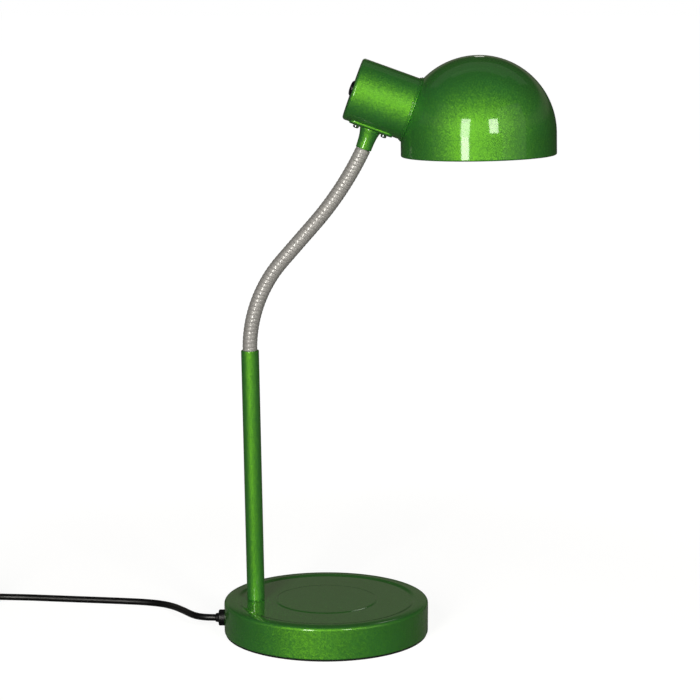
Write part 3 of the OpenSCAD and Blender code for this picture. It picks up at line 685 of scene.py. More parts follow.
def add_piece(
    obj: Object, finish: Finish, body: str | None, replaces: Sequence[str] = ()
) -> Object:
    """Gives a new piece its finish and its body, and hides the CAD nodes that it stands for.

    Args:
        obj: the piece.
        finish: its finish.
        body: the CAD body that it rides on, or None where it lies across two.
        replaces: the CAD nodes that it stands for.

    Returns:
        The piece.
    """
    obj.data.materials.append(finish.material())
    if body:
        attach(obj, body)
    if replaces:
        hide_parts(*replaces)
    report(obj, finish)
    return obj


# Places that the sub-assemblies share


@dataclass(frozen=True)
class Layout:
    """Places that the sub-assemblies share, in millimetres and degrees, as the CAD model has them."""

    base_r: float = 75.0
    top_z: float = 24.3
    stem_in: float = 23.3
    stem_lean: float = 0.95
    stem_len: float = 186.0
    stretch: float = 12.16
    stretches: int = 14
    bend_low_r: float = 97.0
    bend_low_len: float = 71.0
    bend_mid_len: float = 35.0
    bend_up_r: float = 235.0
    cup_r: float = 22.75
    cup_len: float = 42.8
    cup_tilt: float = 19.7
    cone_x: float = 21.8
    cone_len: float = 13.8
    saddle_t: float = 1.2
    shade_r: float = 55.5
    shade_tilt: float = 1.2
    collar_gap: float = 1.8
    cord_y: float = 6.0
    cord_z: float = 8.5

    @property
    def shade_x(self) -> float:
        """Distance from the dome's centre to the cup's mouth."""
        return math.sqrt(self.shade_r**2 - self.cup_r**2) + self.collar_gap

    @property
    def rear_x(self) -> float:
        """Station of the cup's rear face."""
        return -self.shade_x - self.cup_len

    @property
    def saddle_x(self) -> float:
        """Station of the saddle's middle."""
        return self.rear_x + self.cone_x

    @property
    def saddle_r(self) -> float:
        """Radius of the saddle's outer face."""
        return self.cup_r + self.saddle_t

    def stem(self) -> Matrix:
        """Frame of the upright tube, with its origin at the foot."""
        foot = Matrix.Translation((-(self.base_r - self.stem_in), 0, self.top_z))
        return foot @ Matrix.Rotation(math.radians(-self.stem_lean), 4, "Y")

    def angle(self, s: float) -> float:
        """Direction of the neck at a length along it, in radians from upright.

        Args:
            s: the length.

        Returns:
            The angle.
        """
        low = min(s, self.bend_low_len) / self.bend_low_r
        high = max(0.0, s - self.bend_low_len - self.bend_mid_len) / self.bend_up_r
        return math.radians(-self.stem_lean) + low - high

    def feet(self) -> list[Vector]:
        """Foot of each stretch of the neck, and the end of the last one.

        Returns:
            The points.
        """
        out = [self.stem() @ Vector((0, 0, self.stem_len))]
        for k in range(self.stretches):
            a = self.angle((k + 0.5) * self.stretch)
            out.append(out[-1] + Vector((math.sin(a), 0, math.cos(a))) * self.stretch)
        return out

    def head(self) -> Matrix:
        """Frame of the head, X along the cup's axis, with its origin at the dome's centre.

        Returns:
            The frame.
        """
        turn = Matrix.Rotation(math.radians(self.cup_tilt), 4, "Y")
        offset = turn @ Vector((-self.saddle_x, 0, self.saddle_r + self.cone_len))
        return Matrix.Translation(self.feet()[-1] + offset) @ turn

    def cup_axis(self) -> Matrix:
        """Frame with Z along the cup's axis, for turned pieces."""
        return self.head() @ Matrix.Rotation(math.pi / 2, 4, "Y")

    def shade(self) -> Matrix:
        """Frame of the shade, with its rim square to Z."""
        turn = Matrix.Rotation(math.radians(-self.shade_tilt), 4, "Y")
        return Matrix.Translation(self.head().translation) @ turn


# Studio


class LightSide(Enum):
    """Where a soft light stands: its name, and its azimuth from the front in degrees, to the right."""

    LEFT = ("softbox_left", -22.7)
    LEFT_LOW = ("softbox_left_low", -22.7)
    RIGHT = ("softbox_right", 18.6)
    BACK = ("panel_back", 176.6)
    OVER = ("panel_over", 176.6)
    REAR = ("fill_rear", 180.0)
    FRONT = ("fill_front", 5.0)
    FAR_RIGHT = ("fill_right", 50.0)
    FAR_LEFT = ("fill_left", -55.0)


@dataclass(frozen=True)
class SoftLight:
    """A soft light as the shade sees it: elevations and width in degrees, radiance and distance in metres."""

    low: float
    high: float
    width: float
    radiance: float
    distance: float = 1.7


@dataclass
class Studio:
    """Camera, paper floor, even surround and soft lights."""

    focal_px: float = 2180.0
    camera_at: Point3 = (0.0175, -1.5536, 0.4720)
    camera_pitch: float = 9.558
    sensor: float = 36.0
    view_end: float = 200.0
    floor_half: float = 30.0
    aim: Point3 = (0.109, 0.0, 0.366)
    lamp_tint: str = "#fffdf6"
    horizon: str = "#1b1b1a"
    backdrop: str = "#6b675e"
    ceiling: str = "#131414"
    band: tuple[float, float, float, float] = (0.12, 0.2, 0.31, 0.4)
    paper: str = "#787876"
    paper_roughness: float = 0.9
    shiny_share: float = 0.02
    shadow_white: float = 0.9
    shadow_reach: Point2 = (0.25, 0.8)
    lights: dict[LightSide, SoftLight] = field(
        default_factory=lambda: {
            LightSide.LEFT: SoftLight(-1.0, 24.0, 12.5, 11.5),
            LightSide.LEFT_LOW: SoftLight(-11.5, -1.0, 11.0, 15.5),
            LightSide.RIGHT: SoftLight(4.5, 24.0, 12.5, 12.5, 1.0),
            LightSide.BACK: SoftLight(18.0, 25.0, 3.0, 1.3),
            LightSide.OVER: SoftLight(67.0, 75.0, 50.0, 0.15),
            LightSide.REAR: SoftLight(48.0, 68.0, 80.0, 0.12),
            LightSide.FRONT: SoftLight(-11.0, 40.0, 70.0, 0.12),
            LightSide.FAR_RIGHT: SoftLight(-10.0, 40.0, 40.0, 0.3),
            LightSide.FAR_LEFT: SoftLight(-10.0, 40.0, 40.0, 0.1),
        }
    )

    def set_camera(self) -> None:
        """Makes the camera at the photograph's angle."""
        data = bpy.data.cameras.new("camera")
        data.sensor_width = self.sensor
        data.lens = self.focal_px / IMAGE_PX * self.sensor
        data.clip_end = self.view_end
        camera = bpy.data.objects.new("camera", data)
        camera.location = self.camera_at
        camera.rotation_euler = (math.radians(90 - self.camera_pitch), 0, 0)
        bpy.context.scene.collection.objects.link(camera)
        bpy.context.scene.camera = camera
        bpy.context.scene.view_settings.view_transform = "Standard"

    def seen_plainly(self, tree: Tree) -> Socket:
        """Share of the white surround that a ray sees.

        Args:
            tree: the node tree that uses it.

        Returns:
            All of it from the camera and through glass, part of it in gloss, and none elsewhere.
        """
        path = add_node(tree, "LightPath").outputs
        seen = {0: path["Is Camera Ray"], 1: path["Is Transmission Ray"]}
        direct = add_node(tree, "Math", seen, operation="ADD").outputs[0]
        share = {0: path["Is Glossy Ray"], 1: self.shiny_share, 2: direct}
        return add_node(tree, "Math", share, operation="MULTIPLY_ADD", use_clamp=True).outputs[0]

    def set_floor(self) -> None:
        """Lays the pale paper floor, which keeps the lamp's shadow."""
        h = self.floor_half / MM
        corners = [Vector(p) for p in ((-h, -h, 0), (h, -h, 0), (h, h, 0), (-h, h, 0))]
        floor = build_object("paper_floor", corners, [[0, 1, 2, 3]])
        made = bpy.data.materials.new("matt_paper")
        tree = emptied_tree(made)
        lit = add_node(tree, "BsdfDiffuse", {"Color": linear(self.paper), "Roughness": self.paper_roughness})
        # The white is a little lower round the lamp, where the lights make up for it, so that shadows show.
        where = add_node(tree, "TexCoord").outputs["Object"]
        away = add_node(tree, "VectorMath", {0: where}, operation="LENGTH").outputs["Value"]
        near, far = self.shadow_reach
        span = {"Value": away, "From Min": near, "From Max": far, "To Min": self.shadow_white, "To Max": 1.0}
        share = add_node(tree, "MapRange", span, interpolation_type="SMOOTHSTEP").outputs["Result"]
        level = add_node(tree, "Math", {0: self.seen_plainly(tree), 1: share}, operation="MULTIPLY")
        white = add_node(tree, "Emission", {"Strength": level.outputs[0]})
        both = add_node(tree, "AddShader", {0: lit.outputs[0], 1: white.outputs[0]})
        add_node(tree, "OutputMaterial", {"Surface": both.outputs[0]})
        floor.data.materials.append(made)

    def set_world(self) -> None:
        """Surrounds the lamp with a grey band between darker ones, which the camera sees as white."""
        world = bpy.data.worlds.new("even_surround")
        bpy.context.scene.world = world
        tree = emptied_tree(world)
        up = add_node(tree, "SeparateXYZ", {0: add_node(tree, "TexCoord").outputs["Generated"]})
        ramp = add_node(tree, "ValToRGB", {0: up.outputs["Z"]})
        ends = ramp.color_ramp.elements
        ends[0].position, ends[0].color = self.band[0], linear(self.horizon)
        ends[1].position, ends[1].color = self.band[3], linear(self.ceiling)
        for spot in self.band[1:3]:
            ends.new(spot).color = linear(self.backdrop)
        grey = add_node(tree, "Background", {"Color": ramp.outputs["Color"]})
        white = add_node(tree, "Background", {"Color": linear("#ffffff")})
        mix = {0: self.seen_plainly(tree), 1: grey.outputs[0], 2: white.outputs[0]}
        add_node(tree, "OutputWorld", {"Surface": add_node(tree, "MixShader", mix).outputs[0]})

    def set_lights(self) -> None:
        """Stands the soft lights round the lamp, each facing the shade."""
        aim = Vector(self.aim)
        for side, light in self.lights.items():
            name, azimuth = side.value
            rise = math.radians((light.low + light.high) / 2)
            turn = math.radians(azimuth)
            way = Vector((math.sin(turn) * math.cos(rise), -math.cos(turn) * math.cos(rise), math.sin(rise)))
            data = bpy.data.lights.new(name, "AREA")
            data.shape = "RECTANGLE"
            data.size = 2 * light.distance * math.tan(math.radians(light.width / 2))
            data.size_y = 2 * light.distance * math.tan(math.radians((light.high - light.low) / 2))
            data.energy = light.radiance * math.pi * data.size * data.size_y
            data.color = linear(self.lamp_tint)[:3]
            lamp = bpy.data.objects.new(name, data)
            lamp.location = aim + way * light.distance
            lamp.rotation_euler = way.to_track_quat("Z", "Y").to_euler()
            lamp.visible_camera = False
            bpy.context.scene.collection.objects.link(lamp)

    def build(self) -> None:
        """Sets camera, floor, surround and lights."""
        self.set_camera()
        self.set_floor()
        self.set_world()
        self.set_lights()


# Cord


@dataclass
class MainsLead:
    """The mains lead: strain relief, sheath, coil of the spare length, tie and plug."""

    layout: Layout
    diameter: float = 5.0
    relief_out: float = 7.0
    relief_in: float = 15.0
    relief_seat: float = 6.0
    relief_r: float = 4.2
    relief_end_r: float = 3.1
    relief_bore: float = 0.03
    flange_r: float = 5.95
    flange_t: float = 4.6
    flange_gap: float = 0.05
    coil_out: float = 212.0
    coil_y: float = 81.3
    coil_r: float = 29.5
    coil_steps: int = 24
    pitch: float = 5.5
    turns: int = 8
    layers: int = 4
    lift: float = 0.9
    tie_w: float = 6.0
    tie_t: float = 0.6
    tie_gap: float = 0.3
    tie_corner: float = 2.4
    tie_edge: float = 0.2
    plug_t: float = 13.7
    plug_w: float = 35.3
    plug_len: float = 34.0
    plug_neck: float = 20.0
    ribs: int = 5
    rib_pitch: float = 3.4
    rib_foot: float = 2.2
    rib_r: float = 4.9
    rib_fall: float = 0.28
    root_r: float = 4.2
    root_fall: float = 0.22
    pin_r: float = 2.0
    pin_len: float = 19.0
    pin_gap: float = 18.6
    pin_root: float = -1.0
    sleeve_len: float = 9.9
    sleeve_t: float = 0.15
    # Way out from the strain relief, Y, share of the exit's height that is left, share of the coil's lift
    run_line: tuple[tuple[float, float, float, float], ...] = (
        (0, 6, 1, 0), (6, 6.5, 1, 0), (12, 9, 0.97, 0), (17, 14, 0.92, 0), (21, 21, 0.83, 0),
        (25, 29, 0.72, 0), (29, 37, 0.58, 0), (33, 45, 0.42, 0), (38, 53, 0.25, 0), (44, 60, 0.1, 0),
        (52, 65, 0.02, 0), (62, 68, 0, 0), (74, 70, 0, 0), (88, 72, 0, 0), (103, 74, 0, 0), (118, 76, 0, 0),
        (133, 78, 0, 0), (148, 80, 0, 0), (163, 81, 0, 0.1), (178, 81.3, 0, 0.4), (193, 81.3, 0, 0.9),
        (207, 81.3, 0, 1),
    )  # fmt: skip
    # Way out from the coil's middle, Y, share that is left of the coil top's height over the plug's middle
    tail_line: tuple[Point3, ...] = (
        (5, 81.3, 1), (15, 81.1, 0.97), (24, 79.5, 0.87), (33, 75.5, 0.69), (40, 69, 0.46),
        (45, 61, 0.24), (47.5, 52, 0.08), (48, 43, 0.01), (48, 36, 0),
    )  # fmt: skip

    @property
    def exit(self) -> Vector:
        """Where the lead leaves its strain relief."""
        return Vector((-self.layout.base_r - self.relief_out, self.layout.cord_y, self.layout.cord_z))

    @property
    def layer_turns(self) -> float:
        """Turns in a layer of the coil."""
        return self.turns / self.layers

    @property
    def coil_start_r(self) -> float:
        """Radius of the coil's first turn."""
        return self.coil_r + self.pitch * self.layer_turns / 2

    @property
    def coil_centre(self) -> Vector:
        """Middle of the coil, at the level of its lowest turns."""
        low = self.diameter / 2 + self.lift
        return Vector((self.exit.x - self.coil_out, self.coil_y - self.coil_start_r, low))

    @property
    def coil_top(self) -> float:
        """Level of the coil's highest turns."""
        return self.coil_centre.z + (self.layers - 1) * self.pitch

    def coil_point(self, t: float) -> Vector:
        """The lead's middle in the coil, which winds inwards and outwards in turn, a level higher each time.

        Args:
            t: turns from the coil's start.

        Returns:
            The point.
        """
        u = t % (2 * self.layer_turns)
        fold = u if u < self.layer_turns else 2 * self.layer_turns - u
        k = math.floor(t / self.layer_turns + 0.5)
        if 1 <= k <= self.layers - 1:
            level = k - 0.5 + max(-0.5, min(0.5, 2 * (t - k * self.layer_turns)))
        else:
            level = 0.0 if k < 1 else self.layers - 1.0
        r = self.coil_start_r - self.pitch * fold
        a = math.radians(90 + 360 * t)
        return self.coil_centre + Vector((r * math.cos(a), r * math.sin(a), self.pitch * level))

    def route(self) -> list[Vector]:
        """The lead's middle line from its strain relief to its plug.

        Returns:
            Its points.
        """
        start, centre, r = self.exit, self.coil_centre, self.diameter / 2
        drop = self.layout.cord_z - r
        foot = self.plug_t / 2
        fall = self.coil_top - foot
        run = [Vector((start.x - x, y, r + drop * low + self.lift * up)) for x, y, low, up in self.run_line]
        coil = [self.coil_point(i / self.coil_steps) for i in range(self.coil_steps * self.turns + 1)]
        tail = [Vector((centre.x - x, y, foot + fall * high)) for x, y, high in self.tail_line]
        return smooth_line(run, 3) + smooth_line(coil, 2) + smooth_line(tail, 3)

    def build_relief(self) -> Object:
        """The strain relief: a flange outside the base and a taper on each side of it.

        Returns:
            The piece.
        """
        r0 = self.layout.base_r
        bore, front, end = self.diameter / 2 + self.relief_bore, r0 + self.flange_gap, r0 + self.relief_out
        corners = [
            (bore, r0 - self.relief_in, 0), (self.relief_end_r, r0 - self.relief_in, 0.3),
            (self.relief_r, r0 - self.relief_seat, 0.5), (self.relief_r, front, 0),
            (self.flange_r, front, 0.3), (self.flange_r, front + self.flange_t, 0.9),
            (self.relief_end_r + 0.5, front + self.flange_t, 0.4), (self.relief_end_r, end, 0.3),
            (bore, end, 0),
        ]  # fmt: skip
        wall = Matrix.Translation((0, self.layout.cord_y, self.layout.cord_z))
        place = wall @ Matrix.Rotation(-math.pi / 2, 4, "Y")
        obj = build_object("strain_relief", *lathe(rounded(corners, 4), 64), place)
        return add_piece(obj, Finishes.PVC, "stand", ["cord_bushing"])

    def build_sheath(self, route: Sequence[Vector]) -> Object:
        """The lead itself, in one tube along its route."""
        obj = build_object("mains_lead", *tube(route, self.diameter / 2, 18), sharp=60)
        return add_piece(obj, Finishes.SHEATH, "stand", ["cord_run", "cord_coil", "cord_tail"])

    def build_tie(self) -> Object:
        """The band round the coil's front, flat on the floor under its turns.

        Returns:
            The piece.
        """
        thick, wide = self.tie_t / 2, self.tie_w / 2
        half = ((self.layer_turns - 1) * self.pitch + self.diameter) / 2 + self.tie_gap + thick
        top = self.coil_top + self.diameter / 2 + self.tie_gap + thick
        line = rounded_box(-half, half, thick, top, self.tie_corner, 6)
        section = rounded_box(-wide, wide, -thick, thick, self.tie_edge, 2)
        centre = Vector((self.coil_centre.x, self.coil_centre.y - self.coil_r, 0))
        rings: list[list[Vector]] = []
        for i, (y, z) in enumerate(line):
            before, after = line[i - 1], line[(i + 1) % len(line)]
            way = Vector((0, after[0] - before[0], after[1] - before[1])).normalized()
            out = Vector((0, way.z, -way.y))
            rings.append([centre + Vector((across, y, z)) + out * proud for across, proud in section])
        obj = build_object("coil_band", *skinned(rings, True))
        return add_piece(obj, Finishes.BLACK_BAND, "stand", ["cord_tie"])

    def build_plug_body(self, top: Vector) -> Object:
        """The plug's body, nearly round at the lead and nearly square at the pins.

        Args:
            top: where the strain relief's foot meets the body.

        Returns:
            The piece.
        """
        h, w = self.plug_t / 2, self.plug_w / 2
        # Place along the plug, half width, half height, and how square the section is
        stations = [
            (1.4, 4.9, 4.9, 2.0), (0.0, 6.2, 5.3, 2.1), (-2.0, 6.9, 5.9, 2.4), (-4.0, 7.8, 6.5, 2.8),
            (-6.0, 9.2, h - 0.05, 3.2), (-8.0, 11.2, h, 3.6), (-11.0, 13.9, h, 4.2), (-14.0, 16.0, h, 4.8),
            (-17.0, w - 0.4, h, 5.4), (-20.0, w, h, 6.0), (-31.5, w, h, 6.0), (-33.0, w - 0.4, h - 0.4, 6.0),
            (-33.8, w - 1.2, h - 1.2, 6.0), (-self.plug_len, w - 2.2, h - 2.2, 6.0),
        ]  # fmt: skip
        rings: list[list[Vector]] = []
        for y, half_w, half_h, power in stations:
            rings.append([])
            for c, s in ((math.cos(a), math.sin(a)) for a in circle(64, 0.5)):
                x = half_w * math.copysign(abs(c) ** (2 / power), c)
                z = half_h * math.copysign(abs(s) ** (2 / power), s)
                rings[-1].append(top + Vector((x, y, z)))
        body = build_object("plug_shell", *skinned(rings, False, True), sharp=50)
        return add_piece(body, Finishes.PVC, "stand", ["plug_body"])

    def build_plug_relief(self, top: Vector) -> Object:
        """The plug's own strain relief, a cone with rings that get smaller towards the lead.

        Args:
            top: where its foot meets the plug's body.

        Returns:
            The piece.
        """
        corners: list[Point3] = [(0.0, 0.5, 0), (self.rib_r, 0.5, 0)]
        for i in range(self.ribs):
            z = self.rib_foot + self.rib_pitch * i
            crest, root = self.rib_r - self.rib_fall * i, self.root_r - self.root_fall * i
            corners += [(crest, z, 0.4), (root, z + 0.5, 0.3)]
            corners += [(root - 0.1, z + 1.7, 0.3), (crest - 0.15, z + 2.2, 0.4)]
        corners += [(3.3, self.plug_neck, 0.5), (0.0, self.plug_neck, 0)]
        place = Matrix.Translation(top) @ Matrix.Rotation(-math.pi / 2, 4, "X")
        obj = build_object("plug_relief", *lathe(rounded(corners, 3), 48), place)
        return add_piece(obj, Finishes.PVC, "stand")

    def build_pins(self, top: Vector) -> list[Object]:
        """The plug's two pins and their sleeves.

        Args:
            top: where the plug's body starts.

        Returns:
            The two pieces.
        """
        r, root, edge = self.pin_r, self.pin_root, self.sleeve_len
        metal = rounded([(0.0, root, 0), (r - 0.1, root, 0), (r - 0.1, edge, 0), (r, edge + 0.1, 0),
                         (r, self.pin_len, 1.9), (0.0, self.pin_len, 0)], 6)  # fmt: skip
        inner = r - self.sleeve_t
        sleeve = rounded([(inner, root, 0), (r, root, 0), (r, edge, 0.1), (inner, edge, 0)], 2)
        pieces: list[Object] = []
        for name, profile, finish, slot, nodes in (
            ("plug_contacts", metal, Finishes.NICKEL, Slot.PINS, ["plug_pins"]),
            ("pin_sleeves", sleeve, Finishes.PVC, Slot.PLUG, []),
        ):
            pair: list[Shell] = []
            for side in (-1, 1):
                spot = Matrix.Translation((top.x + side * self.pin_gap / 2, top.y - self.plug_len, top.z))
                place = spot @ Matrix.Rotation(math.pi / 2, 4, "X")
                points, faces = lathe(profile, 32)
                pair.append(([place @ p for p in points], faces))
            pieces.append(add_piece(build_object(name, *merged(pair)), finish, "stand", nodes))
        return pieces

    def build(self) -> None:
        relief = self.build_relief()
        route = self.route()
        sheath = self.build_sheath(route)
        tie = self.build_tie()
        top = route[-1] - Vector((0, self.plug_neck, 0))
        plug = [self.build_plug_body(top), self.build_plug_relief(top), *self.build_pins(top)]


# Base and upright


@dataclass
class WeightedBase:
    """The pressed cover over the cast weight; the weight, bottom plate and pad keep their CAD solids."""

    layout: Layout
    height: float = 25.0
    sheet: float = 1.0
    foot_z: float = 1.2
    edge_r: float = 2.4
    rim_in: float = 13.0
    crest_in: float = 8.5
    shoulder: float = 0.4
    disc_r: float = 37.0
    disc_rise: float = 0.3
    disc_step: float = 2.4
    foot_turn: float = 0.8

    def skin(self, depth: float) -> list[Point2]:
        """Outline of the cover from its foot to its middle.

        Args:
            depth: how far inside the outer face the outline runs.

        Returns:
            The outline's points: side, tight edge, sloping shoulder, crest, flat top and raised disc.
        """
        r, top = self.layout.base_r, self.layout.top_z - depth
        foot = self.foot_turn if depth == 0 else 0.0
        line: list[Point2] = []
        for a in (math.pi / 2 * i / 5 for i in range(6)):
            line.append((r - depth - foot * (1 - math.sin(a)), self.foot_z + foot * (1 - math.cos(a))))
        crest, flat = r - self.crest_in, r - self.rim_in
        span = self.crest_in - self.edge_r
        slope = math.degrees(math.atan(2 * self.shoulder / span))
        edge_z = self.height - self.shoulder - self.edge_r * math.cos(math.radians(slope))
        line += arc((r - self.edge_r, edge_z), self.edge_r - depth, 0, 90 - slope, 10)
        for t in (1 - i / 10 for i in range(1, 11)):
            line.append((crest + span * t, self.height - depth - self.shoulder * t**2))
        for t in (i / 8 for i in range(1, 9)):
            fall = (self.height - self.layout.top_z) * eased(t)
            line.append((crest + (flat - crest) * t, self.height - depth - fall))
        for t in (i / 8 for i in range(9)):
            line.append((self.disc_r + self.disc_step * (0.5 - t), top + self.disc_rise * eased(t)))
        return line + [(self.disc_r * 0.6, top + self.disc_rise), (0.0, top + self.disc_rise)]

    def build(self) -> None:
        """Builds the cover."""
        profile = self.skin(0) + self.skin(self.sheet)[::-1]
        obj = build_object("base_shell", *lathe(profile, 192))
        add_piece(obj, Finishes.LACQUER, "stand", ["base_cover"])


@dataclass
class Upright:
    """The painted upright tube."""

    layout: Layout
    radius: float = 6.5
    wall: float = 1.0
    lip_r: float = 0.6
    sink: float = 0.12
    groove: float = 0.5
    groove_h: float = 0.45

    def build(self) -> None:
        """Builds the tube, which meets the base's flat top in a fine groove."""
        length, r, inner = self.layout.stem_len, self.radius, self.radius - self.wall
        corners = [
            (inner, -self.sink, 0), (r - self.groove, -self.sink, 0), (r - self.groove, self.groove_h, 0.05),
            (r, self.groove_h + 0.3, 0.15), (r, length * 0.5, 0), (r, length, self.lip_r),
            (inner, length, 0.1),
        ]  # fmt: skip
        obj = build_object("upright_tube", *lathe(rounded(corners), 96), self.layout.stem())
        add_piece(obj, Finishes.LACQUER, "stand", ["stem_tube"])


# Neck


@dataclass
class WoundNeck:
    """The flexible neck: one round wire wound close, in pieces that lie across the neck's joints."""

    layout: Layout
    radius: float = 5.35
    core_r: float = 5.02
    fall: float = 0.03
    bore_r: float = 2.7
    pitch: float = 3.04
    rings_per_turn: int = 24
    sides: int = 44

    def wire(self, s: float, turn: float) -> float:
        """Outer radius of the wound wire.

        Args:
            s: the length along the neck.
            turn: the share of a turn round it.

        Returns:
            The radius, slightly round over the wire's width and steep at the seam between two windings.
        """
        x = abs((s / self.pitch - turn) % 1.0 - 0.5) * 2
        return self.radius - self.fall * x**2 - (self.radius - self.fall - self.core_r) * x**6

    def centre(self, s: float, feet: list[Vector]) -> tuple[Vector, float]:
        """The neck's middle line, a smooth curve through the feet of its stretches.

        Args:
            s: the length along the neck.
            feet: the feet of the stretches.

        Returns:
            The point and the direction, in radians from upright.
        """
        k = min(int(s / self.layout.stretch), self.layout.stretches - 1)
        t = s / self.layout.stretch - k
        a, b = (self.layout.angle(i * self.layout.stretch) for i in (k, k + 1))
        chord = feet[k + 1] - feet[k]
        normal = Vector((chord.z, 0, -chord.x)).normalized()
        bow = (b - a) * chord.length / 2 * t * (1 - t)
        return feet[k] + chord * t - normal * bow, self.layout.angle(s)

    def section(self, s: float, feet: list[Vector], inner: bool) -> list[Vector]:
        """A ring of points round the neck.

        Args:
            s: the length along the neck.
            feet: the feet of the stretches.
            inner: whether the ring is on the bore instead of the outer face.

        Returns:
            The points.
        """
        spot, a = self.centre(s, feet)
        across, side = Vector((math.cos(a), 0, -math.sin(a))), Vector((0, 1, 0))
        out: list[Vector] = []
        for turn in (j / self.sides for j in range(self.sides)):
            r = self.bore_r if inner else self.wire(s, turn)
            way = across * math.cos(2 * math.pi * turn) + side * math.sin(2 * math.pi * turn)
            out.append(spot + way * r)
        return out

    def build_piece(self, name: str, start: float, end: float, feet: list[Vector]) -> Object:
        """A closed piece of neck.

        Args:
            name: the piece's name.
            start: the length along the neck where it starts.
            end: the length where it ends.
            feet: the feet of the stretches.

        Returns:
            The piece.
        """
        fine = max(2, round((end - start) / self.pitch * self.rings_per_turn))
        coarse = max(2, fine // 6)
        rings = [self.section(start + (end - start) * i / fine, feet, False) for i in range(fine + 1)]
        rings += [self.section(end + (start - end) * i / coarse, feet, True) for i in range(coarse + 1)]
        return build_object(name, *skinned(rings, True), sharp=75)

    def build(self) -> None:
        """Builds a piece across each joint between two stretches."""
        feet = self.layout.feet()
        length, count = self.layout.stretch, self.layout.stretches
        bodies = frame["record"]["behaviour"]["bodies"]
        owner = {node: body for body, nodes in bodies.items() for node in nodes}
        for k in range(1, count):
            start = 0.0 if k == 1 else (k - 0.5) * length
            end = count * length if k == count - 1 else (k + 0.5) * length
            obj = self.build_piece(f"wound_neck_{k:02d}", start, end, feet)
            below, above = owner[f"neck_link_{k:02d}"], owner[f"neck_link_{k + 1:02d}"]
            nodes = [f"neck_link_{k:02d}"] + ([f"neck_link_{k + 1:02d}"] if k == count - 1 else [])
            add_piece(obj, Finishes.NICKEL_STEEL, below if below == above else None, nodes)
            if below != above:
                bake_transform(obj)


# Head


